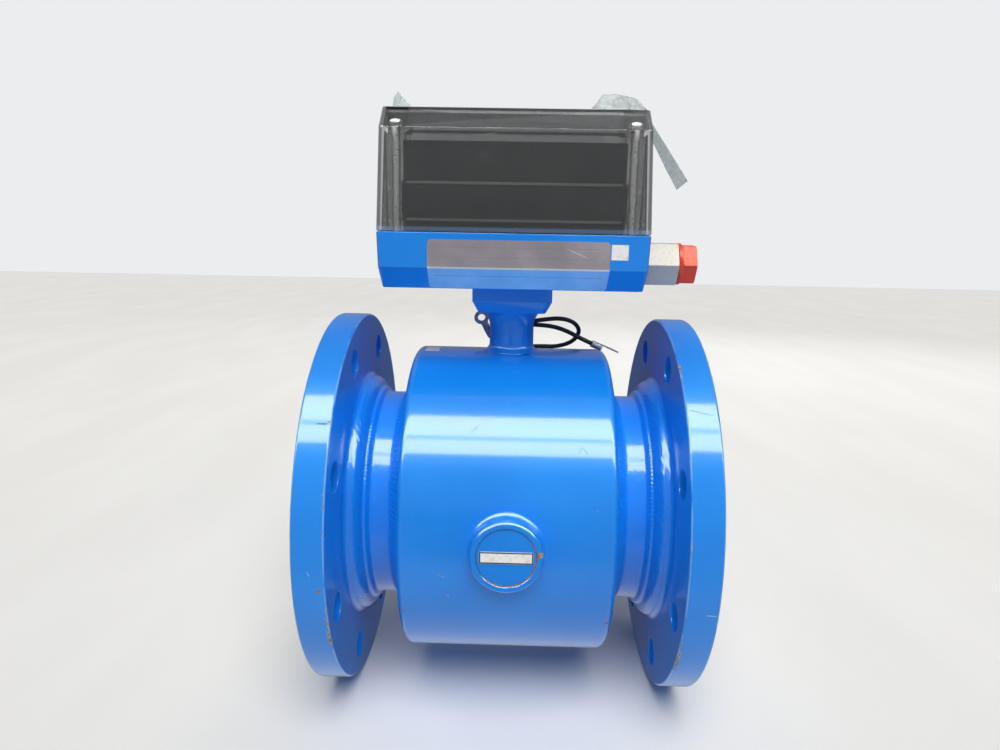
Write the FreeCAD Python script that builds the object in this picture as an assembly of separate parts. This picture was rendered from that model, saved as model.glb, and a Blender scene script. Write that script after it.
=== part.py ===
import FreeCAD, Part
import math
import os

from FreeCAD import Vector

# Electromagnetic flow meter, in millimetres. The origin is on the pipe axis, half way
# between the two sealing faces. +X runs along the pipe towards the conduit side,
# -Y is the front with the electrode boss, +Z is up to the converter.

# Pipe connection: DN 125 flanges on a 139.7 mm tube, 250 mm over the sealing faces
face_to_face = 250.0
bore_diameter = 124.0
tube_diameter = 139.7
tube_wall = 4.0
liner_lip = 3.5
liner_lip_margin = 8.0
bore_entry_round = 1.5
flange_diameter = 250.0
rim_thickness = 19.0
rim_chamfer = 1.0
raised_face_gap = 22.0
raised_face_height = 3.0
bolt_edge = 20.0
bolt_hole = 18.0
bolt_count = 8
hub_root_diameter = 162.0
hub_end_diameter = 150.4
hub_length = 9.2
hub_root_round = 4.0
hub_weld_leg = 4.6

# Coil housing
housing_diameter = 206.0
housing_wall = 3.0
housing_length = 129.6
end_ring_lip = 7.8
end_ring_wall = 4.0
end_ring_round = 5.0
end_weld_leg = 8.0
wire_hole_diameter = 20.0

# Electrode bosses, front and rear
boss_diameter = 42.0
boss_bore = 34.9
boss_height = 9.5
boss_chamfer = 0.8
boss_weld = 2.2
cap_thickness = 3.0
cap_sink = 0.8
badge_width = 30.7
badge_height = 7.0
badge_thickness = 0.5

# Electrodes and their bushes
electrode_head_diameter = 12.0
electrode_head_height = 2.0
electrode_stem_diameter = 6.0
electrode_reach = 24.0
bush_diameter = 16.0
bush_collar_diameter = 22.0
bush_collar_height = 3.0
bush_height = 6.0
nut_across_flats = 10.0
nut_height = 5.0
seat_gap = 0.05

# Coils, pole shoes and yoke
shoe_gap = 0.6
shoe_thickness = 2.4
shoe_length = 84.0
shoe_half_angle = 44.0
core_length = 40.0
core_half_angle = 22.0
coil_thickness = 13.0
coil_length = 92.0
coil_half_angle = 52.0
coil_clearance = 1.0
yoke_thickness = 3.0
yoke_width = 60.0

# Neck casting
stem_diameter = 30.0
stem_weld = 4.0
cone_height = 10.0
cone_top_diameter = 38.4
stem_height = 26.5
head_width = 52.0
head_round = 3.5
head_slope_in = 4.0
head_slope_height = 7.7
head_height = 16.7
neck_screw_spacing = 34.0
neck_screw_diameter = 5.0
neck_screw_depth = 9.0
screw_head_diameter = 8.5
screw_head_height = 4.6

# Converter base, a casting with sloped lower front and rear
base_width = 164.0
base_depth = 116.0
base_upright = 20.8
base_slope_height = 13.0
base_slope_depth = 14.0
base_draft = 0.7
base_wall = 4.0
block_round = 3.0
pad_diameter = 34.0
pad_reach = 1.0
gasket_width = 2.0
gasket_inset = 1.0
gasket_height = 2.0
gasket_groove = 1.6
cover_gap = 0.1

# Smoked cover
cover_upright = 59.7
cover_slope_height = 13.6
cover_slope_depth = 14.0
cover_draft = 1.8
cover_wall = 3.0
pillar_diameter = 12.6
pillar_inset_x = 11.4
pillar_inset_y = 8.4
pocket_width = 12.5
pocket_wall = 2.3
cover_screw_diameter = 5.0
cover_screw_grip = 13.0
screw_clearance = 0.3

# Electronics
board_side_gap = 11.5
board_front_gap = 17.0
board_thickness = 1.6
tray_height = 6.0
tray_wall = 4.0
board_gap = 20.6
upper_cover_height = 24.0
insert_wall = 2.0
insert_margin = 1.0
transformer_width = 44.0
transformer_depth = 38.0
transformer_height = 17.0
post_diameter = 10.0
post_inset_x = 25.0
post_inset_y = 28.0
strip_length = 48.0
strip_gap = 4.0
strip_depth = 13.0
strip_height = 14.0
strip_poles = 7
strip_hole = 4.0

# Conduit adapter, lock nut and thread protector plug
conduit_rise = 16.8
adapter_flats = 27.0
adapter_turn = 3.5
adapter_length = 24.6
adapter_thread = 20.0
adapter_thread_length = 14.0
adapter_bore = 19.8
adapter_chamfer = 1.2
seal_thickness = 1.2
seal_diameter = 26.0
lock_nut_flats = 24.0
lock_nut_height = 4.0
plug_rim_diameter = 27.4
plug_rim_height = 2.6
plug_flats = 24.4
plug_head_height = 9.2
plug_shank_length = 12.0
plug_shank_wall = 2.0
plug_gap = 0.3

# Folded name plate and blank labels
plate_side_margin = 27.5
plate_centre_x = 3.3
plate_thickness = 0.8
plate_top_margin = 4.1
plate_bottom_margin = 1.6
plate_round = 2.5
label_thickness = 0.2
front_label_width = 10.0
front_label_height = 9.0
front_label_inset = 18.4
front_label_drop = 10.0
top_label_width = 9.5
top_label_inset = 3.7
top_label_front_angle = 6.9
top_label_rear_angle = 1.6

# Earth screw, ring lugs and leads
clamp_rise = 14.5
clamp_boss_diameter = 12.0
clamp_boss_reach = 11.0
earth_screw_diameter = 5.0
earth_screw_depth = 10.0
earth_head_flats = 8.0
earth_head_height = 3.5
washer_diameter = 11.0
washer_thickness = 1.0
lug_ring_diameter = 10.5
lug_hole = 5.3
lug_thickness = 0.8
lug_barrel_diameter = 5.0
lug_barrel_start = 7.5
lug_reach = 15.5
lead_diameter = 3.2

# Torn clear tape left on the cover
tape_thickness = 0.3
left_flap_inset = 8.3
left_flap_width = 11.0
left_flap_rise = 8.6
left_flap_lean = 3.0
left_flap_slant = 1.8
left_flap_cut = 6.8
right_flap_inset = 4.0
right_flap_width = 33.0
right_flap_rise = 9.4
right_flap_lean = 7.0
right_flap_slant = 6.6
right_flap_cut = 5.8
tail_top = 6.8
tail_root = 9.0
tail_reach = 24.0
tail_drop = 34.0
tail_tip = 6.4
tail_tip_drop = 5.4
tail_notch = 10.0
tail_notch_rise = 7.0

# Worked out from the sizes above
bolt_circle = flange_diameter - 2*bolt_edge
raised_face_diameter = bolt_circle - raised_face_gap
liner_lip_diameter = raised_face_diameter - liner_lip_margin
tube_radius = tube_diameter/2
tube_bore_radius = tube_radius - tube_wall
bore_radius = bore_diameter/2
face_x = face_to_face/2
raised_x = face_x - liner_lip
rim_outer_x = raised_x - raised_face_height
rim_inner_x = rim_outer_x - rim_thickness
housing_radius = housing_diameter/2
housing_half = housing_length/2
shell_half = housing_half - end_ring_lip
boss_face_y = housing_radius + boss_height
top_label_x = top_label_inset - shell_half
cone_top_z = housing_radius + stem_height
clamp_z = housing_radius + clamp_rise
clamp_boss_y = stem_diameter/2 + clamp_boss_reach
head_bottom_z = cone_top_z
base_bottom_z = head_bottom_z + head_height
conduit_z = base_bottom_z + conduit_rise
crease_z = base_bottom_z + base_slope_height
parting_z = crease_z + base_upright
cover_bottom_z = parting_z + gasket_height - gasket_groove + cover_gap
cover_crease_z = cover_bottom_z + cover_upright
cover_top_z = cover_crease_z + cover_slope_height
floor_z = base_bottom_z + base_wall
crease_half_depth = base_depth/2 - base_draft
cover_half_depth = base_depth/2 - cover_draft
screw_tip_z = parting_z - cover_screw_grip
tray_z = parting_z + 1.2
lower_board_z = tray_z + tray_height
upper_board_z = lower_board_z + board_thickness + board_gap
pillar_x = base_width/2 - pillar_inset_x
pillar_y = base_depth/2 - pillar_inset_y
post_x = base_width/2 - post_inset_x
post_y = base_depth/2 - post_inset_y
board_width = base_width - 2*board_side_gap
board_depth = base_depth - 2*board_front_gap
strip_x = (neck_screw_spacing + screw_head_diameter + strip_depth)/2 + strip_gap
plate_width = base_width - 2*plate_side_margin
front_label_x = base_width/2 - front_label_inset
front_label_z = parting_z - front_label_drop
pad_x = base_width/2 + pad_reach
adapter_x = pad_x + seal_thickness
plug_x = adapter_x + adapter_length
FORWARD = Vector(0, -1, 0)
ALONG = Vector(1, 0, 0)
UP = Vector(0, 0, 1)
ORIGIN = Vector(0, 0, 0)


def closed_face(place, start, *steps):
    """A face in a plane: a step of one point is a line, of two points an arc."""
    edges = []
    here = place(*start)
    for step in steps:
        there = place(*step[-1])
        if len(step) == 1:
            edges.append(Part.LineSegment(here, there).toShape())
        else:
            edges.append(Part.Arc(here, place(*step[0]), there).toShape())
        here = there
    if here.distanceToPoint(place(*start)) > 1e-6:
        edges.append(Part.LineSegment(here, place(*start)).toShape())
    return Part.Face(Part.Wire(edges))


def pipe_plane(along, radius):
    """Half plane through the pipe axis: distance along it, then radius."""
    return Vector(along, 0, radius)


def stem_plane(radius, height):
    """Half plane through the neck's axis."""
    return Vector(radius, 0, height)


def side_plane(depth, height):
    """The plane across the converter, seen from its end."""
    return Vector(0, depth, height)


def turned_on_pipe(start, *steps):
    return closed_face(pipe_plane, start, *steps).revolve(ORIGIN, ALONG, 360)


def turned_on_stem(start, *steps):
    return closed_face(stem_plane, start, *steps).revolve(ORIGIN, UP, 360)


def rod(diameter, start, end):
    """A plain round rod between two points."""
    run = end.sub(start)
    return Part.makeCylinder(diameter/2, run.Length, start, run)


def box_between(low, high):
    size = high.sub(low)
    return Part.makeBox(size.x, size.y, size.z, low)


def drum(inner, outer, low_x, high_x):
    """A round wall on the pipe axis."""
    outside = Part.makeCylinder(outer, high_x - low_x, Vector(low_x, 0, 0), ALONG)
    return outside.cut(Part.makeCylinder(inner, high_x - low_x, Vector(low_x, 0, 0), ALONG))


def round_midpoint(centre, corner, radius):
    """The middle of a quarter round, on the line from its centre to its corner."""
    reach = radius/math.sqrt(2)
    across = 1 if corner[0] > centre[0] else -1
    upwards = 1 if corner[1] > centre[1] else -1
    return (centre[0] + across*reach, centre[1] + upwards*reach)


def rounded_outline(z, half_x, half_y, radius):
    """A level rectangle with round corners."""
    inset_x = half_x - radius
    inset_y = half_y - radius
    edges = []
    for corner in range(4):
        turn = 90*corner
        wide = corner % 2 == 0
        a, b = (inset_x, inset_y) if wide else (inset_y, inset_x)
        reach = radius/math.sqrt(2)
        start = Vector(a + radius, b, z)
        middle = Vector(a + reach, b + reach, z)
        end = Vector(a, b + radius, z)
        following = Vector(-a, b + radius, z)
        spin = FreeCAD.Rotation(UP, turn)
        bend = Part.Arc(spin.multVec(start), spin.multVec(middle), spin.multVec(end))
        edges.append(bend.toShape())
        edges.append(Part.LineSegment(spin.multVec(end), spin.multVec(following)).toShape())
    return Part.Wire(edges)


def lofted_block(*levels):
    """A block through level rectangles, each given as z, half width, half depth, round."""
    return Part.makeLoft([rounded_outline(*level) for level in levels], True, True)


def hexagon_bar(flats, centre, direction, length, turn=0.0):
    """A hexagon bar: its first corner points to the front, turned about its own axis."""
    axis = Vector(direction)
    axis.normalize()
    side = FORWARD if abs(axis.dot(FORWARD)) < 0.9 else UP
    radius = flats/math.sqrt(3)
    corners = []
    for k in range(7):
        spin = FreeCAD.Rotation(axis, turn + 60*k)
        corners.append(centre.add(spin.multVec(side).multiply(radius)))
    return Part.Face(Part.makePolygon(corners)).extrude(axis.multiply(length))


def chamfered_hexagon(flats, centre, direction, length, chamfer, turn=0.0):
    """A hexagon bar whose corners are turned off at both ends."""
    bar = hexagon_bar(flats, centre, direction, length, turn)
    corner = flats/math.sqrt(3)
    rise = chamfer*math.tan(math.radians(30))
    low = corner - chamfer
    outline = Part.makeCone(low, corner, rise, centre, direction)
    middle_start = centre.add(Vector(direction).multiply(rise))
    outline = outline.fuse(Part.makeCylinder(corner, length - 2*rise, middle_start, direction))
    far_start = centre.add(Vector(direction).multiply(length - rise))
    outline = outline.fuse(Part.makeCone(corner, low, rise, far_start, direction))
    return bar.common(outline)


def both_sides(shape):
    """The shape and its mirror image across the middle plane of the pipe run."""
    return shape, shape.mirror(ORIGIN, ALONG)


def flange():
    """One pipe flange with its hub, turned, and its eight bolt holes."""
    rim = flange_diameter/2
    raised = raised_face_diameter/2
    root = hub_root_diameter/2
    hub_end = hub_end_diameter/2
    hub_end_x = rim_inner_x - hub_length
    weld_end_x = hub_end_x - hub_weld_leg
    groove = (hub_end_x - 0.9, hub_end - 2.2)
    bead = (hub_end_x - 2.4, hub_end - 2.5)
    root_centre = (rim_inner_x - hub_root_round, root + hub_root_round)
    root_middle = round_midpoint(root_centre, (rim_inner_x, root), hub_root_round)
    body = turned_on_pipe(
        (raised_x, tube_radius),
        ((raised_x, raised),),
        ((rim_outer_x, raised),),
        ((rim_outer_x, rim - rim_chamfer),),
        ((rim_outer_x - rim_chamfer, rim),),
        ((rim_inner_x + rim_chamfer, rim),),
        ((rim_inner_x, rim - rim_chamfer),),
        ((rim_inner_x, root + hub_root_round),),
        (root_middle, (rim_inner_x - hub_root_round, root)),
        ((hub_end_x, hub_end),),
        (groove, bead),
        ((weld_end_x, tube_radius),))
    for k in range(bolt_count):
        angle = math.radians((k + 0.5)*360/bolt_count)
        y = bolt_circle/2*math.cos(angle)
        z = bolt_circle/2*math.sin(angle)
        start = Vector(hub_end_x - 1, y, z)
        body = body.cut(rod(bolt_hole, start, Vector(raised_x, y, z)))
    return body


def measuring_tube():
    """The bare tube, bored across for the two electrode bushes."""
    tube = drum(tube_bore_radius, tube_radius, -raised_x, raised_x)
    across = Vector(0, tube_diameter, 0)
    return tube.cut(rod(bush_diameter, across.negative(), across))


def liner():
    """The lining: a thin sleeve turned out flat over both raised faces."""
    lip = liner_lip_diameter/2
    entry = face_x - bore_entry_round
    entry_centre = (entry, bore_radius + bore_entry_round)
    right = round_midpoint(entry_centre, (face_x, bore_radius), bore_entry_round)
    left = (-right[0], right[1])
    sleeve = turned_on_pipe(
        (-entry, bore_radius),
        ((entry, bore_radius),),
        (right, (face_x, bore_radius + bore_entry_round)),
        ((face_x, lip),),
        ((raised_x, lip),),
        ((raised_x, tube_bore_radius),),
        ((-raised_x, tube_bore_radius),),
        ((-raised_x, lip),),
        ((-face_x, lip),),
        ((-face_x, bore_radius + bore_entry_round),),
        (left, (-entry, bore_radius)))
    across = Vector(0, tube_radius, 0)
    sleeve = sleeve.cut(rod(electrode_stem_diameter + 2*seat_gap, across.negative(), across))
    seat = Vector(0, bore_radius + electrode_head_height + seat_gap, 0)
    return sleeve.cut(rod(electrode_head_diameter + 2*seat_gap, seat.negative(), seat))


def on_electrode_axis(shape, side):
    """A shape drawn upwards along +Z, laid along the front (-1) or rear (+1) axis."""
    shape.rotate(ORIGIN, ALONG, -90*side)
    return shape


def electrode(side):
    """Electrode with its head flush in the lining."""
    head_top = bore_radius + electrode_head_height
    tip = tube_radius + electrode_reach
    head = turned_on_stem(
        (0, bore_radius - 1),
        ((electrode_head_diameter/2, bore_radius - 1),),
        ((electrode_head_diameter/2, head_top),),
        ((electrode_stem_diameter/2, head_top),),
        ((electrode_stem_diameter/2, tip - 1),),
        ((electrode_stem_diameter/2 - 1, tip),),
        ((0, tip),))
    pin = on_electrode_axis(head, side)
    flush = bore_radius + seat_gap
    return pin.cut(Part.makeCylinder(flush, 40, Vector(-20, 0, 0), ALONG))


def electrode_bush(side):
    """Insulating bush in the tube wall, with a collar outside."""
    hole = electrode_stem_diameter/2 + seat_gap
    neck = bush_diameter/2 - seat_gap
    collar_z = tube_radius + seat_gap
    collar_top = collar_z + bush_collar_height
    bush = turned_on_stem(
        (hole, tube_bore_radius + seat_gap),
        ((neck, tube_bore_radius + seat_gap),),
        ((neck, collar_z),),
        ((bush_collar_diameter/2, collar_z),),
        ((bush_collar_diameter/2, collar_top),),
        ((neck, collar_top),),
        ((neck - 1, collar_z + bush_height),),
        ((hole, collar_z + bush_height),))
    return on_electrode_axis(bush, side).cut(
        Part.makeCylinder(tube_bore_radius + seat_gap, 40, Vector(-20, 0, 0), ALONG))


def electrode_nut(side):
    """Nut that pulls the electrode into its seat."""
    start = Vector(0, 0, tube_radius + bush_height + 2*seat_gap)
    bar = chamfered_hexagon(nut_across_flats, start, UP, nut_height, 0.5)
    hole = rod(electrode_stem_diameter + 2*seat_gap, start, start.add(UP.multiply(1)*nut_height))
    return on_electrode_axis(bar.cut(hole), side)


def curved_pad(inner, outer, half_length, half_angle, side):
    """A piece of a drum wall, centred above (+1) or below (-1) the tube."""
    face = closed_face(
        pipe_plane,
        (-half_length, inner),
        ((half_length, inner),),
        ((half_length, outer),),
        ((-half_length, outer),))
    pad = face.revolve(ORIGIN, ALONG, 2*half_angle)
    pad.rotate(ORIGIN, ALONG, -half_angle)
    if side < 0:
        pad.rotate(ORIGIN, ALONG, 180)
    return pad


def pole_shoe(side):
    """Curved sheet on the tube, and the core that fills the coil's window."""
    inner = tube_radius + shoe_gap
    outer = inner + shoe_thickness
    core_top = outer + coil_thickness + coil_clearance
    shoe = curved_pad(inner, outer, shoe_length/2, shoe_half_angle, side)
    return shoe.fuse(curved_pad(outer - 0.5, core_top, core_length/2, core_half_angle, side))


def saddle_coil(side):
    """Wound coil bent round the tube, with a window for the core."""
    inner = tube_radius + shoe_gap + shoe_thickness + coil_clearance/2
    outer = inner + coil_thickness
    coil = curved_pad(inner, outer, coil_length/2, coil_half_angle, side)
    window = curved_pad(inner - 1, outer + 1, core_length/2 + coil_clearance,
                        core_half_angle + 1.0, side)
    return coil.cut(window)


def yoke_band():
    """Steel band that closes the magnetic path round both coils."""
    inner = tube_radius + shoe_gap + shoe_thickness + coil_thickness + 1.5*coil_clearance
    band = drum(inner, inner + yoke_thickness, -yoke_width/2, yoke_width/2)
    across = Vector(0, housing_diameter, 0)
    return band.cut(rod(bush_collar_diameter, across.negative(), across))


def housing_shell():
    """Rolled shell of the coil housing, open under the neck and both bosses."""
    shell = drum(housing_radius - housing_wall, housing_radius, -shell_half, shell_half)
    across = Vector(0, housing_diameter, 0)
    shell = shell.cut(rod(boss_bore, across.negative(), across))
    return shell.cut(rod(wire_hole_diameter, ORIGIN, UP.multiply(1)*housing_diameter))


def housing_end():
    """End ring with a round outer edge, and the weld that joins it to the tube."""
    inner = housing_radius - housing_wall
    inner_face = housing_half - end_ring_wall
    round_start = housing_half - end_ring_round
    corner_middle = round_midpoint((round_start, housing_radius - end_ring_round),
                                   (housing_half, housing_radius), end_ring_round)
    weld_top = tube_radius + end_weld_leg
    weld_end = housing_half + end_weld_leg
    weld_middle = (housing_half + 0.58*end_weld_leg, tube_radius + 0.58*end_weld_leg)
    return turned_on_pipe(
        (shell_half, inner),
        ((shell_half, housing_radius),),
        ((round_start, housing_radius),),
        (corner_middle, (housing_half, housing_radius - end_ring_round)),
        ((housing_half, weld_top),),
        (weld_middle, (weld_end, tube_radius)),
        ((inner_face, tube_radius),),
        ((inner_face, inner),))


def electrode_boss(side):
    """Short turned socket welded on the housing over the electrode."""
    outer = boss_diameter/2
    weld_foot = outer + boss_weld
    weld_z = housing_radius + boss_weld
    foot_z = housing_radius - boss_diameter/8
    socket = turned_on_stem(
        (boss_bore/2, foot_z),
        ((weld_foot, foot_z),),
        ((weld_foot, housing_radius - 0.5),),
        ((outer + 0.7, weld_z - 1.3), (outer, weld_z)),
        ((outer, boss_face_y - boss_chamfer),),
        ((outer - boss_chamfer, boss_face_y),),
        ((boss_bore/2 + boss_chamfer/2, boss_face_y),),
        ((boss_bore/2, boss_face_y - boss_chamfer/2),))
    drum_core = Part.makeCylinder(housing_radius, housing_length,
                                  Vector(-housing_half, 0, 0), ALONG)
    return on_electrode_axis(socket, side).cut(drum_core)


def boss_cap(side):
    """Disc pressed into the boss, a little below its face."""
    radius = boss_bore/2 - seat_gap
    top = boss_face_y - cap_sink
    low = top - cap_thickness
    disc = turned_on_stem(
        (0, low),
        ((radius, low),),
        ((radius, top - 0.5),),
        ((radius - 0.5, top),),
        ((0, top),))
    return on_electrode_axis(disc, side)


def badge_plate():
    """Small blank plate across the front cap."""
    back = boss_face_y - cap_sink
    plate = box_between(Vector(-badge_width/2, -back - badge_thickness, -badge_height/2),
                        Vector(badge_width/2, -back, badge_height/2))
    upright = [edge for edge in plate.Edges if abs(edge.tangentAt(0).y) > 0.9]
    return plate.makeFillet(0.8, upright)


def screw_places(half_x, half_y):
    return [Vector(sx*half_x, sy*half_y, 0) for sx in (-1, 1) for sy in (-1, 1)]


def neck_casting():
    """Stem, cone and square head in one piece, with the earth screw's boss behind."""
    stem = stem_diameter/2
    cone_top = cone_top_diameter/2
    cone_z = cone_top_z - cone_height
    weld_z = housing_radius + stem_weld
    stem_foot_z = housing_radius - 4
    blend_middle = (stem + 0.22*(cone_top - stem), cone_z + 0.45*cone_height)
    casting = turned_on_stem(
        (wire_hole_diameter/2, stem_foot_z),
        ((stem + stem_weld, stem_foot_z),),
        ((stem + stem_weld, housing_radius - 0.6),),
        ((stem + 0.3*stem_weld, housing_radius + 0.3*stem_weld), (stem, weld_z)),
        ((stem, cone_z),),
        (blend_middle, (cone_top, cone_top_z)),
        ((wire_hole_diameter/2, cone_top_z),))
    half = head_width/2
    low = half - head_slope_in
    slope_top = head_bottom_z + head_slope_height
    head = lofted_block(
        (head_bottom_z, low, low, head_round),
        (slope_top, half, half, head_round),
        (base_bottom_z, half, half, head_round))
    casting = casting.fuse(head)
    casting = casting.fuse(rod(clamp_boss_diameter, Vector(0, stem/2, clamp_z),
                               Vector(0, clamp_boss_y, clamp_z)))
    casting = casting.cut(rod(wire_hole_diameter, UP*stem_foot_z, UP*(base_bottom_z + 1)))
    tap_start = Vector(0, clamp_boss_y - earth_screw_depth, clamp_z)
    casting = casting.cut(rod(earth_screw_diameter, tap_start, Vector(0, clamp_boss_y, clamp_z)))
    for place in screw_places(neck_screw_spacing/2, neck_screw_spacing/2):
        tap = place.add(UP*(base_bottom_z - neck_screw_depth))
        casting = casting.cut(rod(neck_screw_diameter, tap, place.add(UP*base_bottom_z)))
    drum_core = Part.makeCylinder(housing_radius, housing_length,
                                  Vector(-housing_half, 0, 0), ALONG)
    return casting.cut(drum_core).removeSplitter()


def neck_screws():
    """Four screws that hold the converter base on the neck."""
    screws = []
    for place in screw_places(neck_screw_spacing/2, neck_screw_spacing/2):
        tip = place.add(UP*(base_bottom_z - neck_screw_depth + 0.5))
        seat = place.add(UP*floor_z)
        screw = rod(neck_screw_diameter, tip, seat)
        screw = screw.fuse(rod(screw_head_diameter, seat, seat.add(UP*screw_head_height)))
        socket = seat.add(UP*(screw_head_height - 2.5))
        screws.append(screw.cut(hexagon_bar(4.0, socket, UP, 3.0)))
    return Part.makeCompound(screws)


def base_levels(inset, low, high, corner):
    """Levels of the base casting, drawn in by an inset, from one height to another."""
    half_x = base_width/2 - inset
    half_y = base_depth/2 - inset
    bend = inset*0.45
    return (
        (low, half_x - base_draft*1.5, half_y - base_draft - base_slope_depth + bend, corner),
        (crease_z + bend, half_x - base_draft, half_y - base_draft, corner),
        (high, half_x, half_y, corner))


def converter_base():
    """Hollow casting: tray with sloped lower front and rear, posts and conduit pad."""
    outer = lofted_block(*base_levels(0, base_bottom_z, parting_z, block_round))
    hollow = lofted_block(*base_levels(base_wall, floor_z, parting_z + 1, block_round/2))
    pad = rod(pad_diameter, Vector(base_width/2 - 7, 0, conduit_z), Vector(pad_x, 0, conduit_z))
    body = outer.cut(hollow).fuse(pad)
    posts = []
    for place in screw_places(pillar_x, pillar_y):
        posts.append(rod(pillar_diameter, place.add(UP*base_bottom_z), place.add(UP*parting_z)))
    for place in screw_places(post_x, post_y):
        posts.append(rod(post_diameter, place.add(UP*base_bottom_z), place.add(UP*parting_z)))
    body = body.fuse(Part.makeCompound(posts).common(outer)).removeSplitter()
    grip = cover_screw_diameter + 2*screw_clearance
    for place in screw_places(pillar_x, pillar_y):
        body = body.cut(rod(grip, place.add(UP*(screw_tip_z - 1)), place.add(UP*(parting_z + 1))))
    for place in screw_places(neck_screw_spacing/2, neck_screw_spacing/2):
        hole = neck_screw_diameter + 2*seat_gap
        body = body.cut(rod(hole, place.add(UP*(base_bottom_z - 1)), place.add(UP*(floor_z + 1))))
    body = body.cut(rod(wire_hole_diameter, UP*(base_bottom_z - 1), UP*(floor_z + 1)))
    body = body.cut(rod(adapter_thread + 2*seat_gap, Vector(base_width/2 - 12, 0, conduit_z),
                        Vector(pad_x + 1, 0, conduit_z)))
    return body.cut(gasket_ring(parting_z - gasket_groove, parting_z + 1))


def gasket_ring(low, high):
    """Ring along the rim of the base, between two heights."""
    outer_x = base_width/2 - gasket_inset
    outer_y = base_depth/2 - gasket_inset
    corner = block_round - gasket_inset
    inner_corner = corner - gasket_width/2
    outside = lofted_block((low, outer_x, outer_y, corner), (high, outer_x, outer_y, corner))
    inner_x = outer_x - gasket_width
    inner_y = outer_y - gasket_width
    inside = lofted_block((low, inner_x, inner_y, inner_corner),
                          (high, inner_x, inner_y, inner_corner))
    return outside.cut(inside)


def cover_levels(inset, low, drop):
    """Levels of the cover: upright walls, then sloped front and rear up to the top."""
    half_x = base_width/2 - inset
    half_y = base_depth/2 - inset
    bend = inset*0.45
    corner = max(block_round - inset, 1.0)
    return (
        (low, half_x, half_y, corner),
        (cover_crease_z - bend, half_x - cover_draft, half_y - cover_draft, corner),
        (cover_top_z - drop, half_x - cover_draft, half_y - cover_draft - cover_slope_depth + bend,
         corner))


def smoked_cover():
    """Moulded cover with a hollow pillar and an open screw pocket at each corner."""
    outer = lofted_block(*cover_levels(0, cover_bottom_z, 0))
    hollow = lofted_block(*cover_levels(cover_wall, cover_bottom_z - 1, cover_wall))
    walls = outer.cut(hollow)
    pocket_back = cover_half_depth - cover_slope_depth
    half_pocket = pocket_width/2
    solids = []
    cuts = []
    for place in screw_places(pillar_x, pillar_y):
        toward = 1 if place.y > 0 else -1
        solids.append(rod(pillar_diameter, place.add(UP*cover_bottom_z),
                          place.add(UP*cover_crease_z)))
        near = toward*(pocket_back - pocket_wall)
        far = toward*(cover_half_depth + 1)
        half_block = half_pocket + pocket_wall
        solids.append(box_between(
            Vector(place.x - half_block, min(near, far), cover_crease_z - pocket_wall),
            Vector(place.x + half_block, max(near, far), cover_top_z)))
        near = toward*pocket_back
        cuts.append(box_between(
            Vector(place.x - half_pocket, min(near, far), cover_crease_z + 0.4),
            Vector(place.x + half_pocket, max(near, far), cover_top_z + 1)))
        cuts.append(rod(cover_screw_diameter + 2*seat_gap, place.add(UP*(cover_bottom_z - 1)),
                        place.add(UP*(cover_crease_z + 1))))
    walls = walls.fuse(Part.makeCompound(solids).common(outer)).removeSplitter()
    for cut in cuts:
        walls = walls.cut(cut)
    return walls


def cover_screws():
    """Four long screws with round heads, captive in the cover's pillars."""
    screws = []
    seat_z = cover_crease_z + 0.4
    head = screw_head_diameter/2
    for place in screw_places(pillar_x, pillar_y):
        shank = rod(cover_screw_diameter, place.add(UP*screw_tip_z), place.add(UP*seat_z))
        dome_z = seat_z + screw_head_height
        cap = turned_on_stem(
            (0, seat_z),
            ((head, seat_z),),
            ((head, dome_z - 1.6),),
            ((head*0.8, dome_z - 0.5), (head*0.5, dome_z)),
            ((0, dome_z),))
        cap.translate(place)
        slot = box_between(place.add(Vector(-head, -0.6, dome_z - 1.4)),
                           place.add(Vector(head, 0.6, dome_z + 1)))
        screws.append(shank.fuse(cap).cut(slot))
    return Part.makeCompound(screws)


def open_box(half_x, half_y, low, high, wall, top_wall):
    """A box open below, or a frame where it has no top wall."""
    outside = lofted_block((low, half_x, half_y, 3), (high, half_x, half_y, 3))
    inside = lofted_block((low - 1, half_x - wall, half_y - wall, 2),
                          (high - top_wall, half_x - wall, half_y - wall, 2))
    return outside.cut(inside)


def electronics_tray():
    """Plastic frame on the base's four posts, under the lower board."""
    half_x = board_width/2 - 2*insert_margin
    half_y = board_depth/2 - 2*insert_margin
    frame = open_box(half_x, half_y, tray_z, lower_board_z, tray_wall, -1)
    for place in screw_places(post_x, post_y):
        foot = rod(post_diameter, place.add(UP*parting_z), place.add(UP*lower_board_z))
        side = box_between(place.add(Vector(-post_diameter/2, -1.5, tray_z)),
                           place.add(Vector(post_diameter/2, 1.5, lower_board_z)))
        outward = 1 if place.y > 0 else -1
        reach = Vector(0, outward*(half_y - post_y - 1), 0)
        web = box_between(
            place.add(Vector(-2, min(0, reach.y), tray_z)),
            place.add(Vector(2, max(0, reach.y), lower_board_z)))
        frame = frame.fuse(foot).fuse(side).fuse(web)
    return frame.removeSplitter()


def board(z):
    half_x = board_width/2
    half_y = board_depth/2
    return lofted_block((z, half_x, half_y, 1.5), (z + board_thickness, half_x, half_y, 1.5))


def supply_cover():
    """Dark cover between the two boards, over the power supply."""
    half_x = board_width/2 - insert_margin
    half_y = board_depth/2 - insert_margin
    low = lower_board_z + board_thickness
    return open_box(half_x, half_y, low, upper_board_z, insert_wall, insert_wall)


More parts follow.
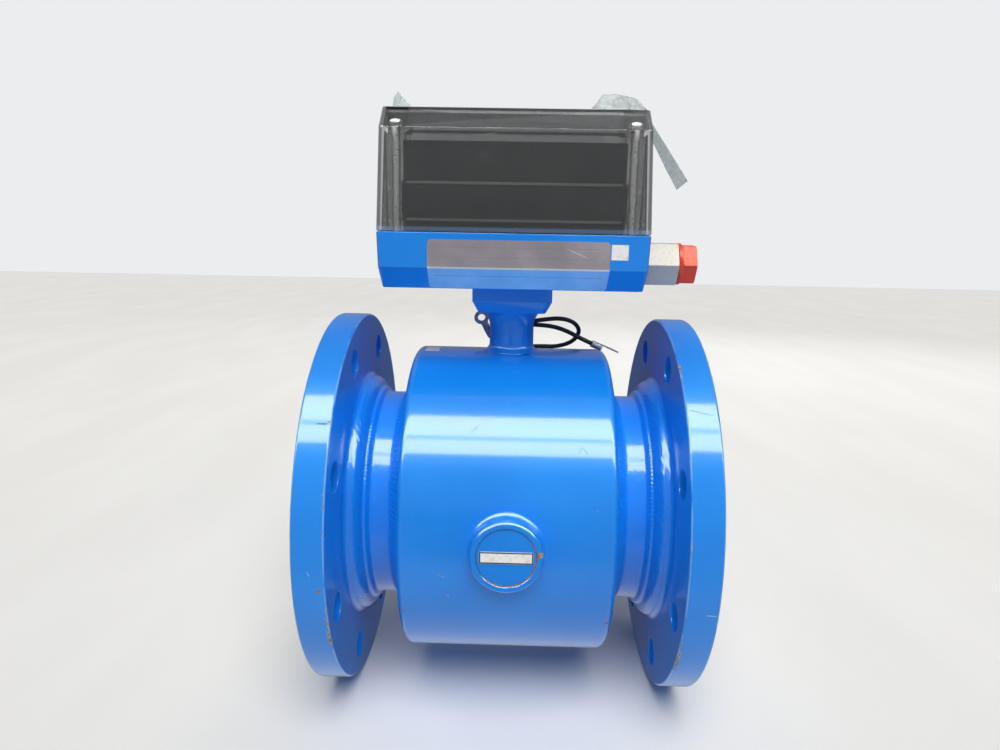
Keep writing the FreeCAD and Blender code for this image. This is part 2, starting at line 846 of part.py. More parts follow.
def signal_cover():
    """Dark cover over the upper board, with cooling slots along its top."""
    half_x = board_width/2 - 2*insert_margin
    half_y = board_depth/2 - 2*insert_margin
    low = upper_board_z + board_thickness
    high = low + upper_cover_height
    cover = open_box(half_x, half_y, low, high, insert_wall, insert_wall)
    slots = 9
    pitch = 11.0
    for k in range(slots):
        x = (k - (slots - 1)/2)*pitch
        cover = cover.cut(box_between(Vector(x - 1.5, -half_y/2, high - insert_wall - 1),
                                      Vector(x + 1.5, half_y/2, high + 1)))
    return cover


def mains_transformer():
    """Core with its winding, standing on the lower board."""
    low = lower_board_z + board_thickness
    half_x = transformer_width/2
    half_y = transformer_depth/2
    top = low + transformer_height
    core = box_between(Vector(-half_x, -half_y*0.55, low), Vector(half_x, half_y*0.55, top))
    winding = lofted_block(
        (low + 1.5, half_x*0.62, half_y, 4),
        (top - 1.5, half_x*0.62, half_y, 4))
    return core.fuse(winding).removeSplitter()


def terminal_strip():
    """Row of screw terminals on the floor of the base, facing the conduit."""
    centre = Vector(strip_x, 0, floor_z)
    half_x = strip_depth/2
    half_y = strip_length/2
    block = box_between(centre.add(Vector(-half_x, -half_y, 0)),
                        centre.add(Vector(half_x, half_y, strip_height*0.6)))
    block = block.fuse(box_between(centre.add(Vector(-half_x, -half_y, 0)),
                                   centre.add(Vector(0.3*half_x, half_y, strip_height))))
    pitch = strip_length/strip_poles
    for k in range(strip_poles):
        y = (k - (strip_poles - 1)/2)*pitch
        entry = centre.add(Vector(half_x, y, strip_height*0.3))
        block = block.cut(rod(strip_hole, entry.add(Vector(-strip_depth*0.6, 0, 0)), entry))
        screw = centre.add(Vector(-0.35*half_x, y, strip_height))
        block = block.cut(rod(strip_hole, screw.add(Vector(0, 0, -3)), screw))
    return block.removeSplitter()


def name_plate():
    """Thin plate folded over the crease of the base's front."""
    front_low = (-crease_half_depth, crease_z)
    front_high = (-base_depth/2, parting_z)
    slope_low = (-crease_half_depth + base_slope_depth, base_bottom_z)

    def on_line(start, end, distance):
        run = math.hypot(end[0] - start[0], end[1] - start[1])
        share = distance/run
        return (start[0] + share*(end[0] - start[0]), start[1] + share*(end[1] - start[1]))

    def outwards(start, end, point):
        run = math.hypot(end[0] - start[0], end[1] - start[1])
        normal = (-(end[1] - start[1])/run, (end[0] - start[0])/run)
        return (point[0] + plate_thickness*normal[0], point[1] + plate_thickness*normal[1])

    upper = on_line(front_high, front_low, plate_top_margin)
    lower = on_line(slope_low, front_low, plate_bottom_margin)
    upper_out = outwards(front_low, front_high, upper)
    lower_out = outwards(slope_low, front_low, lower)
    crease_a = outwards(front_low, front_high, front_low)
    crease_b = outwards(slope_low, front_low, front_low)
    crease_out = (min(crease_a[0], crease_b[0]) - 0.02, (crease_a[1] + crease_b[1])/2)
    face = closed_face(side_plane, upper, (front_low,), (lower,), (lower_out,),
                       (crease_out,), (upper_out,))
    face.translate(Vector(plate_centre_x - plate_width/2, 0, 0))
    plate = face.extrude(Vector(plate_width, 0, 0))
    corners = []
    for edge in plate.Edges:
        middle = edge.CenterOfMass
        at_side = abs(abs(middle.x - plate_centre_x) - plate_width/2) < 0.01
        at_end = middle.z > upper[1] - 1 or middle.z < lower[1] + 1
        if at_side and at_end and abs(edge.Length - plate_thickness) < 0.05:
            corners.append(edge)
    return plate.makeFillet(plate_round, corners)


def front_label():
    """Blank label on the base's front."""
    rise = (front_label_z - crease_z)/(parting_z - crease_z)
    y = -(crease_half_depth + base_draft*rise)
    half = front_label_width/2
    tall = front_label_height/2
    lean = base_draft/(parting_z - crease_z)
    face = closed_face(
        side_plane,
        (y + lean*tall, front_label_z - tall),
        ((y - lean*tall, front_label_z + tall),),
        ((y - lean*tall - label_thickness, front_label_z + tall),),
        ((y + lean*tall - label_thickness, front_label_z - tall),))
    face.translate(Vector(front_label_x - half, 0, 0))
    return face.extrude(Vector(front_label_width, 0, 0))


def housing_label():
    """Blank label bent over the top of the coil housing."""
    face = closed_face(
        pipe_plane,
        (top_label_x - top_label_width/2, housing_radius),
        ((top_label_x + top_label_width/2, housing_radius),),
        ((top_label_x + top_label_width/2, housing_radius + label_thickness),),
        ((top_label_x - top_label_width/2, housing_radius + label_thickness),))
    label = face.revolve(ORIGIN, ALONG, top_label_front_angle + top_label_rear_angle)
    label.rotate(ORIGIN, ALONG, -top_label_rear_angle)
    return label


def conduit_adapter():
    """Hexagon adapter: threaded spigot into the base, threaded bore outwards."""
    start = Vector(adapter_x, 0, conduit_z)
    body = chamfered_hexagon(adapter_flats, start, ALONG, adapter_length, adapter_chamfer,
                             adapter_turn)
    spigot = rod(adapter_thread, Vector(adapter_x - adapter_thread_length, 0, conduit_z), start)
    bore_end = Vector(plug_x + 1, 0, conduit_z)
    body = body.fuse(spigot)
    body = body.cut(rod(adapter_bore, start.add(ALONG*(adapter_length*0.25)), bore_end))
    return body.cut(rod(adapter_thread - 6, start.add(ALONG*(-adapter_thread_length - 1)), bore_end))


def adapter_seal():
    """Flat ring between the adapter and the pad of the base."""
    start = Vector(pad_x, 0, conduit_z)
    end = Vector(adapter_x, 0, conduit_z)
    return rod(seal_diameter, start, end).cut(rod(adapter_thread + 2*seat_gap, start, end))


def lock_nut():
    """Nut on the adapter's spigot inside the base."""
    inside_x = base_width/2 - 7
    start = Vector(inside_x - lock_nut_height, 0, conduit_z)
    nut = chamfered_hexagon(lock_nut_flats, start, ALONG, lock_nut_height, 0.8)
    return nut.cut(rod(adapter_thread + 2*seat_gap, start.add(ALONG*(-1)),
                       start.add(ALONG*(lock_nut_height + 1))))


def thread_plug():
    """Moulded protector: hollow shank, round rim and hexagon head."""
    seat = Vector(plug_x + plug_gap, 0, conduit_z)
    head_x = seat.x + plug_rim_height
    rim = rod(plug_rim_diameter, seat, Vector(head_x, 0, conduit_z))
    head = chamfered_hexagon(plug_flats, Vector(head_x, 0, conduit_z), ALONG, plug_head_height,
                             1.0, adapter_turn)
    shank_start = seat.add(ALONG*(-plug_shank_length))
    shank_diameter = adapter_bore - 2*plug_gap
    shank = rod(shank_diameter, shank_start, seat)
    hollow = rod(shank_diameter - 2*plug_shank_wall, shank_start.add(ALONG*(-1)),
                 seat.add(ALONG*(plug_rim_height*0.5)))
    return rim.fuse(head).fuse(shank).cut(hollow).removeSplitter()


def lug_directions(toward, normal):
    """Unit directions along the barrel, and square to the ring on the barrel's side."""
    along = Vector(toward)
    along.normalize()
    facing = Vector(normal).sub(along*along.dot(normal))
    facing.normalize()
    return along, facing


def ring_lug(centre, toward, normal):
    """Crimp lug with its barrel on one face of the ring: centre and two directions."""
    barrel = lug_barrel_diameter/2
    rise = barrel - lug_thickness/2
    ring = Part.makeCylinder(lug_ring_diameter/2, lug_thickness,
                             Vector(0, 0, -lug_thickness/2))
    tongue = box_between(Vector(0, -barrel, -lug_thickness/2),
                         Vector(lug_barrel_start + 1, barrel, lug_thickness/2))
    crimp = rod(lug_barrel_diameter, Vector(lug_barrel_start, 0, rise),
                Vector(lug_reach, 0, rise))
    lug = ring.fuse(tongue).fuse(crimp)
    lug = lug.cut(rod(lug_hole, Vector(0, 0, -2), Vector(0, 0, 2)))
    along, facing = lug_directions(toward, normal)
    across = facing.cross(along)
    turn = FreeCAD.Matrix(
        along.x, across.x, facing.x, centre.x,
        along.y, across.y, facing.y, centre.y,
        along.z, across.z, facing.z, centre.z,
        0, 0, 0, 1)
    return lug.transformGeometry(turn)


# Where the two earth leads start and end: ring centre, direction of the barrel, normal
lug_level_1 = clamp_boss_y + lug_thickness/2
lug_level_2 = lug_level_1 + lug_thickness
clamp = Vector(0, clamp_boss_y, clamp_z)
near_a = (Vector(0, lug_level_1, clamp_z), Vector(0.985, 0.0, 0.17), Vector(0, -1, 0))
near_b = (Vector(0, lug_level_2, clamp_z), Vector(0.999, 0.0, -0.03), Vector(0, 1, 0))
far_a = (clamp + Vector(-21.9, -2.0, 4.6), Vector(0.427, 0.326, -0.84), Vector(0, -1, 0))
far_b = (clamp + Vector(73.4, 4.8, -17.7), Vector(-0.92, -0.05, 0.40), Vector(0, 0, -1))


def barrel_end(lug, beyond=0.0):
    """The end of a lug's barrel, or a point further out on its axis."""
    centre, toward, normal = lug
    along, facing = lug_directions(toward, normal)
    rise = lug_barrel_diameter/2 - lug_thickness/2
    return centre + along*(lug_reach + beyond) + facing*rise


def from_clamp(*points):
    """Points given from the middle of the earth screw's boss."""
    return [clamp + Vector(*point) for point in points]


route_a = [barrel_end(near_a), barrel_end(near_a, 9.4)] + from_clamp(
    (36.5, 1.6, 4.8), (46.3, 8.0, 1.1), (51.0, 17.2, -6.7), (46.0, 24.0, -15.3),
    (34.5, 25.8, -19.3), (22.0, 22.4, -18.6), (9.5, 16.9, -18.6), (1.0, 12.3, -19.1),
    (-6.0, 7.2, -17.8)) + [barrel_end(far_a, 7.0), barrel_end(far_a)]
route_b = [barrel_end(near_b), barrel_end(near_b, 7.5)] + from_clamp(
    (31.5, 4.4, -1.9), (41.0, 4.3, -5.1)) + [
    barrel_end(far_b, 9.1), barrel_end(far_b)]


def lead(route, name):
    """Round lead: straight runs joined by tangent arcs as large as the runs allow."""
    edges = []
    here = route[0]
    length = 0.0
    for k in range(1, len(route) - 1):
        before = route[k].sub(route[k - 1])
        after = route[k + 1].sub(route[k])
        turn = before.getAngle(after)
        shorter = min(before.Length, after.Length)
        inset = 0.45*shorter
        radius = inset/math.tan(turn/2)
        back = Vector(before)
        back.normalize()
        ahead = Vector(after)
        ahead.normalize()
        start = route[k].sub(back*inset)
        end = route[k].add(ahead*inset)
        bisector = ahead.sub(back)
        bisector.normalize()
        sagitta = radius*(1/math.cos(turn/2) - 1)
        middle = route[k].add(bisector*sagitta)
        edges.append(Part.LineSegment(here, start).toShape())
        edges.append(Part.Arc(start, middle, end).toShape())
        length += here.distanceToPoint(start) + radius*turn
        here = end
        print(name, k, "radius", round(radius, 1), "turn", round(math.degrees(turn), 1))
    edges.append(Part.LineSegment(here, route[-1]).toShape())
    length += here.distanceToPoint(route[-1])
    path = Part.Wire(edges)
    first = route[1].sub(route[0])
    section = Part.Wire([Part.makeCircle(lead_diameter/2, route[0], first)])
    tube = path.makePipeShell([section], True, False)
    expected = math.pi*lead_diameter**2/4*length
    print(name, "length", round(length, 1), "volume ratio", round(tube.Volume/expected, 4))
    print(name, "through", [(round(p.x, 2), round(p.y, 2), round(p.z, 2)) for p in route])
    return tube


def earth_washer():
    start = Vector(0, clamp_boss_y + 2*lug_thickness, clamp_z)
    end = start.add(Vector(0, washer_thickness, 0))
    return rod(washer_diameter, start, end).cut(rod(lug_hole, start, end))


def earth_screw():
    """Hexagon screw that clamps both ring lugs on the neck's boss."""
    seat_y = clamp_boss_y + 2*lug_thickness + washer_thickness
    seat = Vector(0, seat_y, clamp_z)
    tip = Vector(0, clamp_boss_y - earth_screw_depth + 0.5, clamp_z)
    head = chamfered_hexagon(earth_head_flats, seat, Vector(0, 1, 0), earth_head_height, 0.5)
    return rod(earth_screw_diameter, tip, seat).fuse(head)


def thin_sheet(outline, thickness):
    """A thin flat piece: its outline is a closed run of points in one plane."""
    face = Part.Face(Part.makePolygon(outline + [outline[0]]))
    normal = face.normalAt(0, 0)
    return face.extrude(normal*thickness)


def tape_flap(low_x, high_x, rise, lean, slant, cut):
    """Loose end of tape that stands up from the cover's top, behind its front edge."""
    foot_y = -(cover_half_depth - cover_slope_depth)
    foot_z = cover_top_z + tape_thickness
    top_y = foot_y + lean
    return thin_sheet([
        Vector(low_x, foot_y, foot_z), Vector(high_x, foot_y, foot_z),
        Vector(high_x - cut, top_y, foot_z + rise),
        Vector(low_x + slant, top_y, foot_z + rise)],
        tape_thickness)


def tape_tail():
    """Free end of tape that hangs from the cover's upper right corner."""
    x = base_width/2 - cover_draft + tape_thickness
    y = -(cover_half_depth - cover_slope_depth)
    top = cover_top_z - tail_top
    low = top - tail_drop
    return thin_sheet([
        Vector(x, y, top), Vector(x + tail_reach, y, low),
        Vector(x + tail_reach - tail_tip, y, low - tail_tip_drop),
        Vector(x + tail_notch, y, low + tail_notch_rise), Vector(x, y, top - tail_root)],
        tape_thickness)


def write(name, shape):
    solids = shape.Solids
    volume = sum(solid.Volume for solid in solids)
    print(f"{name:22s} solids {len(solids)}  volume {volume/1000:9.2f} cm3  valid {shape.isValid()}")
    shape.exportStep(f"parts/{name}.step")


os.makedirs("parts", exist_ok=True)
flange_right, flange_left = both_sides(flange())
end_right, end_left = both_sides(housing_end())
write("flange_left", flange_left)
write("flange_right", flange_right)
write("measuring_tube", measuring_tube())
write("liner", liner())
write("housing_shell", housing_shell())
write("housing_end_left", end_left)
write("housing_end_right", end_right)
for side, where in ((-1, "front"), (1, "rear")):
    write(f"electrode_{where}", electrode(side))
    write(f"electrode_bush_{where}", electrode_bush(side))
    write(f"electrode_nut_{where}", electrode_nut(side))
    write(f"electrode_boss_{where}", electrode_boss(side))
    write(f"boss_cap_{where}", boss_cap(side))
for side, where in ((1, "upper"), (-1, "lower")):
    write(f"pole_shoe_{where}", pole_shoe(side))
    write(f"coil_{where}", saddle_coil(side))
write("yoke_band", yoke_band())
write("badge_plate", badge_plate())
write("neck_casting", neck_casting())
write("neck_screws", neck_screws())
write("converter_base", converter_base())
write("cover_gasket", gasket_ring(parting_z - gasket_groove,
                                  parting_z - gasket_groove + gasket_height))
write("smoked_cover", smoked_cover())
write("cover_screws", cover_screws())
write("electronics_tray", electronics_tray())
write("supply_board", board(lower_board_z))
write("supply_cover", supply_cover())
write("signal_board", board(upper_board_z))
write("signal_cover", signal_cover())
write("mains_transformer", mains_transformer())
write("terminal_strip", terminal_strip())
write("name_plate", name_plate())
write("front_label", front_label())
write("housing_label", housing_label())
write("conduit_adapter", conduit_adapter())
write("adapter_seal", adapter_seal())
write("lock_nut", lock_nut())
write("thread_plug", thread_plug())
write("earth_screw", earth_screw())
write("earth_washer", earth_washer())
write("near_lug_a", ring_lug(*near_a))
write("near_lug_b", ring_lug(*near_b))
write("far_lug_a", ring_lug(*far_a))
write("far_lug_b", ring_lug(*far_b))
write("earth_lead_a", lead(route_a, "lead a"))
write("earth_lead_b", lead(route_b, "lead b"))
left_flap_x = left_flap_inset - base_width/2
right_flap_x = base_width/2 - right_flap_inset
write("tape_flap_left", tape_flap(left_flap_x, left_flap_x + left_flap_width, left_flap_rise,
                                  left_flap_lean, left_flap_slant, left_flap_cut))
write("tape_flap_right", tape_flap(right_flap_x - right_flap_width, right_flap_x,
                                   right_flap_rise, right_flap_lean, right_flap_slant,
                                   right_flap_cut))
write("tape_tail", tape_tail())
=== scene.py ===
import math

import bmesh
import bpy
import mathutils
import numpy as np
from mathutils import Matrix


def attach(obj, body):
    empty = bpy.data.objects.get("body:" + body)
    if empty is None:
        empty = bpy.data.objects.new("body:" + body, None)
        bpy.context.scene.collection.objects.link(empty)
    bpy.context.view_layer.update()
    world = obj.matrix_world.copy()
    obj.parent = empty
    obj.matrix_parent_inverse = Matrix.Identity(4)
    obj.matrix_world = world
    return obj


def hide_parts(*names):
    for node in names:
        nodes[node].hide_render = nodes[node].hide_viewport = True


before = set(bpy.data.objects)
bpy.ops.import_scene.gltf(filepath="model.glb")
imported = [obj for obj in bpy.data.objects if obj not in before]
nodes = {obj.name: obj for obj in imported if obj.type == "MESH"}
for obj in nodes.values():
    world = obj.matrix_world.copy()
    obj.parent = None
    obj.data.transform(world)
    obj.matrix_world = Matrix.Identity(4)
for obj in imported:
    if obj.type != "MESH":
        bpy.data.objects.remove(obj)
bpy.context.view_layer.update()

# The bench: a plain pale table, on which the meter stands on the rims of its two flanges.
# It catches the meter's shadow, but gloss doesn't mirror it: the sky below shows gloss a
# table of its own, which is pale close by and in front only.
FLANGE_RADIUS = 0.125
TABLE_REACH = 6.0


class Field:
    """A value that changes over a surface: sums and products of it add Math nodes."""

    def __init__(self, shading, socket):
        self.shading = shading
        self.socket = socket

    def _math(self, operation, *terms):
        return self.shading.node("Math", {"operation": operation}, dict(enumerate(terms)))

    def __add__(self, other):
        return self._math("ADD", self, other)

    def __radd__(self, other):
        return self._math("ADD", other, self)

    def __sub__(self, other):
        return self._math("SUBTRACT", self, other)

    def __rsub__(self, other):
        return self._math("SUBTRACT", other, self)

    def __mul__(self, other):
        return self._math("MULTIPLY", self, other)

    def __rmul__(self, other):
        return self._math("MULTIPLY", other, self)

    def __pow__(self, other):
        return self._math("POWER", self, other)

    def __abs__(self):
        return self._math("ABSOLUTE", self)

    def most(self, other):
        """The larger of the two."""
        return self._math("MAXIMUM", self, other)

    def step(self, start, end):
        """0 up to start, 1 from end on, smooth between: start may be the larger."""
        return self.shading.node(
            "MapRange", {"interpolation_type": "SMOOTHSTEP"},
            {"Value": self, "From Min": start, "From Max": end})


class Shading:
    """A tree of nodes that feeds one shader, and the one method that adds a node."""

    def __init__(self, tree, shader):
        self.tree = tree
        self.shader = tree.nodes[shader]

    def node(self, kind, settings=None, values=None, output=0):
        """Sets the new node's settings, then gives each socket named its value or link."""
        made = self.tree.nodes.new("ShaderNode" + kind)
        for name, value in (settings or {}).items():
            setattr(made, name, value)
        for name, value in (values or {}).items():
            socket = made.inputs[name]
            if isinstance(value, Field):
                self.tree.links.new(value.socket, socket)
            elif socket.type == "RGBA":
                socket.default_value = (*value, 1)
            else:
                socket.default_value = value
        return Field(self, made.outputs[output])

    def axes(self, vector):
        """The three parts of a vector, one by one."""
        return [self.node("SeparateXYZ", None, {0: vector}, axis) for axis in "XYZ"]

    def mix(self, share, first, second):
        """The first colour where share is 0, the second where it is 1."""
        return self.node("Mix", {"data_type": "RGBA"}, {0: share, 6: first, 7: second}, 2)

    def feed(self, socket, field):
        self.tree.links.new(field.socket, self.shader.inputs[socket])


class Finish(Shading):
    """A piece's material, and the patterns that it is made of."""

    def __init__(self, name, colour, roughness, **constants):
        self.material = bpy.data.materials.new(name)
        self.material.use_nodes = True
        super().__init__(self.material.node_tree, "Principled BSDF")
        self.shader.inputs["Base Color"].default_value = (*colour, 1)
        self.shader.inputs["Roughness"].default_value = roughness
        for socket, value in constants.items():
            self.shader.inputs[socket.replace("_", " ")].default_value = value
        self.relief = None

    def place(self):
        """Object coordinates, in metres, which are the meter's own."""
        return self.node("TexCoord", output="Object")

    def stretched(self, scales, place=None):
        """Coordinates multiplied axis by axis, for brushed or drawn-out patterns."""
        return self.node("VectorMath", {"operation": "MULTIPLY"},
                         {0: place or self.place(), 1: scales})

    def noise(self, scale, detail=2.0, place=None, rough=0.5):
        """Even, cloudy noise around 0.5, with so many lumps in a metre."""
        return self.node("TexNoise", None, {
            "Vector": place or self.place(), "Scale": scale, "Detail": detail,
            "Roughness": rough})

    def bump(self, height, depth):
        """Adds relief to what is there: height is 0 to 1, depth is in metres."""
        values = {"Height": height, "Distance": depth, "Strength": 1.0}
        if self.relief:
            values["Normal"] = self.relief
        self.relief = self.node("Bump", None, values)
        self.feed("Normal", self.relief)


def surface(name, points, around=False, along=False, finish=None, body="meter"):
    """A smooth mesh through a grid of points, closed round its second or first count."""
    rows, columns = points.shape[:2]
    index = np.arange(rows*columns).reshape(rows, columns)
    if along:
        index = np.vstack([index, index[:1]])
    if around:
        index = np.hstack([index, index[:, :1]])
    quads = np.stack([index[:-1, :-1], index[:-1, 1:], index[1:, 1:], index[1:, :-1]], -1)
    mesh = bpy.data.meshes.new(name)
    mesh.from_pydata(points.reshape(-1, 3).tolist(), [], quads.reshape(-1, 4).tolist())
    mesh.shade_smooth()
    mesh.materials.append(finish.material)
    made = bpy.data.objects.new(name, mesh)
    bpy.context.scene.collection.objects.link(made)
    if body:
        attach(made, body)
    return made


bench = Finish("pale bench top", (0.82, 0.81, 0.79), 0.5, Specular_IOR_Level=0.0)
grain = bench.noise(9.0, 5.0, bench.stretched((1.0, 0.25, 1.0)))
specks = bench.noise(160.0, 3.0)
bench.feed("Base Color", bench.mix(grain.step(0.35, 0.7), (0.81, 0.80, 0.775),
                                   (0.84, 0.83, 0.805)))
bench.feed("Roughness", 0.44 + grain*0.12 + specks*0.05)
bench.bump(specks, 0.00005)
table_x, table_y = np.meshgrid([-TABLE_REACH, TABLE_REACH], [-TABLE_REACH, TABLE_REACH])
table_z = np.full_like(table_x, -FLANGE_RADIUS)
floor = surface("bench_top", np.dstack([table_x, table_y, table_z]), finish=bench, body=None)
floor.visible_glossy = False

# The daylight: a soft sun high in front, a weak lamp behind, and a sky. The camera and
# clear plastic see the sky pale. Gloss sees it with a bright strip in front, split by a
# dimmer gap, which gives the paint two bands, and with a dark patch low in front.
SKY_ALL_ROUND = 0.18
SKY_SEEN = 0.86
SKY_BEHIND = 0.30
SKY_BEFORE = 0.62
TABLE_BEHIND = 0.10
TABLE_BEFORE = 0.76
PATCH_SIDES = 0.42
PATCH_MIDDLE = 0.48
STRIP_LIGHT = 18.5
STRIP_LOW = math.radians(45.2)
STRIP_HIGH = math.radians(75.4)
STRIP_EDGE = math.radians(0.8)
STRIP_SIDES = (0.94, 0.86)
GAP_HEIGHT = math.radians(57.6)
GAP_REACH = math.radians(2.6)
GAP_CORE = math.radians(0.6)
GAP_DIMMING = 0.62
SKY_TINT = (0.97, 0.985, 1.0)
STRIP_TINT = (1.0, 0.94, 0.80)
SUN_TILT = (math.radians(34), math.radians(5), 0)
SUN_SOFTNESS = math.radians(42)
SUN_STRENGTH = 2.8
LAMP_SIZE = (1.4, 1.0)
LAMP_POWER = 7.0
LAMP_PLACE = mathutils.Vector((0.7, 1.7, 1.2))
LAMP_AIM = mathutils.Vector((0, 0, 0.1))

sky = bpy.data.worlds.new("soft daylight")
bpy.context.scene.world = sky
sky.use_nodes = True
air = Shading(sky.node_tree, "Background")
sky_x, sky_y, sky_z = air.axes(air.node("TexCoord", output="Generated"))
seen_by_camera = air.node("LightPath", output="Is Camera Ray")
seen_through = air.node("LightPath", output="Is Transmission Ray")
seen_in_gloss = air.node("LightPath", output="Is Glossy Ray")
height = air.node("Math", {"operation": "ARCTAN2"}, {0: sky_z, 1: sky_y*-1.0})
strip = height.step(STRIP_LOW - STRIP_EDGE, STRIP_LOW + STRIP_EDGE)
strip = strip*height.step(STRIP_HIGH + STRIP_EDGE, STRIP_HIGH - STRIP_EDGE)
strip = strip - abs(height - GAP_HEIGHT).step(GAP_REACH, GAP_CORE)*GAP_DIMMING*strip
strip = strip*abs(sky_x).step(*STRIP_SIDES)
in_front = sky_y.step(0.25, -0.35)
below = sky_z.step(0.01, -0.05)
close_by = in_front.most(sky_z.step(-0.50, -0.85))
mirrored_sky = SKY_BEHIND + sky_y.step(0.60, -0.10)*(SKY_BEFORE - SKY_BEHIND)
mirrored_sky = mirrored_sky + strip*STRIP_LIGHT
mirrored_table = TABLE_BEHIND + close_by*(TABLE_BEFORE - TABLE_BEHIND)
mirrored = mirrored_sky*(1.0 - below) + below*mirrored_table
patch = in_front*sky_z.step(0.20, -0.05)*sky_z.step(-0.66, -0.42)
patch = patch*(PATCH_SIDES + abs(sky_x + 0.03).step(0.25, 0.05)*PATCH_MIDDLE)
mirrored = mirrored*(1.0 - patch)
pale = seen_by_camera.most(seen_through)
air.feed("Color", air.mix(strip*seen_in_gloss, SKY_TINT, STRIP_TINT))
air.feed("Strength", SKY_ALL_ROUND + pale*(SKY_SEEN - SKY_ALL_ROUND)
         + seen_in_gloss*(mirrored - SKY_ALL_ROUND))

sunlight = bpy.data.lights.new("daylight", "SUN")
sunlight.energy = SUN_STRENGTH
sunlight.angle = SUN_SOFTNESS
sun = bpy.data.objects.new("daylight", sunlight)
sun.rotation_euler = SUN_TILT
sun.visible_glossy = False
bpy.context.scene.collection.objects.link(sun)
lamplight = bpy.data.lights.new("rear fill", "AREA")
lamplight.shape = "RECTANGLE"
lamplight.size, lamplight.size_y = LAMP_SIZE
lamplight.energy = LAMP_POWER
lamp = bpy.data.objects.new("rear fill", lamplight)
lamp.location = LAMP_PLACE
lamp.rotation_euler = (LAMP_AIM - LAMP_PLACE).to_track_quat("-Z", "Y").to_euler()
lamp.visible_glossy = False
bpy.context.scene.collection.objects.link(lamp)

# The camera: it stands where the photograph was taken from, level with the converter's
# base and half a metre in front of the pipe's axis. Its lens and place were fitted to both
# flanges at once.
FOCAL_PIXELS = 715.6
PICTURE_WIDTH = 1000.0
CAMERA_PLACE = (0.00192, -0.48964, 0.17206)
CAMERA_TURN = (79.8626, -1.0365, 1.2819)
lens = bpy.data.cameras.new("photo view")
lens.sensor_width = 36.0
lens.lens = FOCAL_PIXELS/PICTURE_WIDTH*lens.sensor_width
camera = bpy.data.objects.new("photo view", lens)
camera.location = CAMERA_PLACE
camera.rotation_euler = [math.radians(turn) for turn in CAMERA_TURN]
bpy.context.scene.collection.objects.link(camera)
bpy.context.scene.camera = camera
bpy.context.scene.view_settings.view_transform = "Standard"

# The two earth leads: black stranded wire in a soft plastic sleeve, crimped into ring
# lugs behind the neck. One loops round to a lug on the left, and the other runs out to a
# lug that hangs over the housing's right edge.
LEAD_DIAMETER = 0.0032
LEAD_A_ROUTE = (
    (15.27, 24.3, 120.14), (24.54, 24.3, 121.73), (36.5, 27.6, 122.3), (46.3, 34.0, 118.6),
    (51.0, 43.2, 110.8), (46.0, 50.0, 102.2), (34.5, 51.8, 98.2), (22.0, 48.4, 98.9),
    (9.5, 42.9, 98.9), (1.0, 38.3, 98.4), (-6.0, 33.2, 99.7), (-11.95, 29.37, 102.53),
    (-14.95, 27.08, 108.43))
LEAD_B_ROUTE = (
    (15.49, 29.3, 117.03), (22.99, 29.3, 116.81), (31.5, 30.4, 115.6), (41.0, 30.3, 112.4),
    (50.03, 29.53, 107.67), (58.37, 29.98, 104.05))


def paint_on(finish, *names):
    """Gives CAD nodes their material."""
    for name in names:
        materials = nodes[name].data.materials
        materials.clear()
        materials.append(finish.material)


sleeve = Finish("black wire sleeve", (0.012, 0.012, 0.014), 0.42, Coat_Weight=0.15,
                Coat_Roughness=0.3)
scuff = sleeve.noise(700.0, 3.0)
sleeve.feed("Roughness", 0.34 + scuff*0.25)
sleeve.feed("Base Color", sleeve.mix(scuff.step(0.5, 0.8), (0.010, 0.010, 0.012),
                                     (0.035, 0.035, 0.038)))
sleeve.bump(sleeve.noise(1500.0, 1.0), 0.00002)


def earth_lead(name, route):
    """A round wire on a smooth spline, whose control points are the route's, in mm."""
    route = np.array(route)/1000
    curve = bpy.data.curves.new(name, "CURVE")
    curve.dimensions = "3D"
    curve.bevel_depth = LEAD_DIAMETER/2
    curve.bevel_resolution = 6
    curve.resolution_u = 10
    curve.use_fill_caps = True
    curve.materials.append(sleeve.material)
    spline = curve.splines.new("NURBS")
    spline.points.add(len(route) - 1)
    spline.points.foreach_set("co", np.hstack([route, np.ones((len(route), 1))]).ravel())
    spline.order_u = 3
    spline.use_endpoint_u = True
    wire = bpy.data.objects.new(name + "_wire", curve)
    bpy.context.scene.collection.objects.link(wire)
    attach(wire, "meter")
    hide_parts(name)


earth_lead("earth_lead_a", LEAD_A_ROUTE)
earth_lead("earth_lead_b", LEAD_B_ROUTE)
tinned = Finish("tinned lug", (0.60, 0.58, 0.58), 0.4, Metallic=0.35)
tin = tinned.noise(420.0, 4.0)
tinned.feed("Base Color", tinned.mix(tin.step(0.42, 0.72), (0.62, 0.60, 0.60),
                                     (0.34, 0.32, 0.32)))
tinned.feed("Roughness", 0.28 + tin*0.25)
tinned.bump(tin, 0.00004)
paint_on(tinned, "near_lug_a", "near_lug_b", "far_lug_a", "far_lug_b")

# The welded pipe body: two forged flanges with hubs on a bare steel tube, sprayed all
# over with one gloss azure coat that leaves a fine orange peel and fills the corners.
RIM_OUTER = 0.1185
RIM_INNER = 0.0995
RIM_SKIN = (0.1236, 0.1243)
CORNER_SKIN = (0.1240, 0.1246)
CORNER_WEAR = (0.0014, 0.0004)
PALE_EDGE_FROM_MIDDLE = 0.0091
AZURE = (0.008, 0.235, 0.780)
AZURE_THICK = (0.006, 0.210, 0.720)
AZURE_DUSTY = (0.16, 0.42, 0.86)
AZURE_PALE_EDGE = (0.30, 0.56, 0.86)
PRIMER = (0.44, 0.40, 0.34)
BARE_STEEL = (0.20, 0.20, 0.19)
RUST = (0.20, 0.075, 0.026)
RUST_BLOOM = (0.42, 0.19, 0.05)
PALE_SCRATCH = (0.40, 0.52, 0.62)
DARK_SCRATCH = (0.012, 0.075, 0.26)
CLEAR_COAT = 0.6
SAME_PLACE = 1e-6
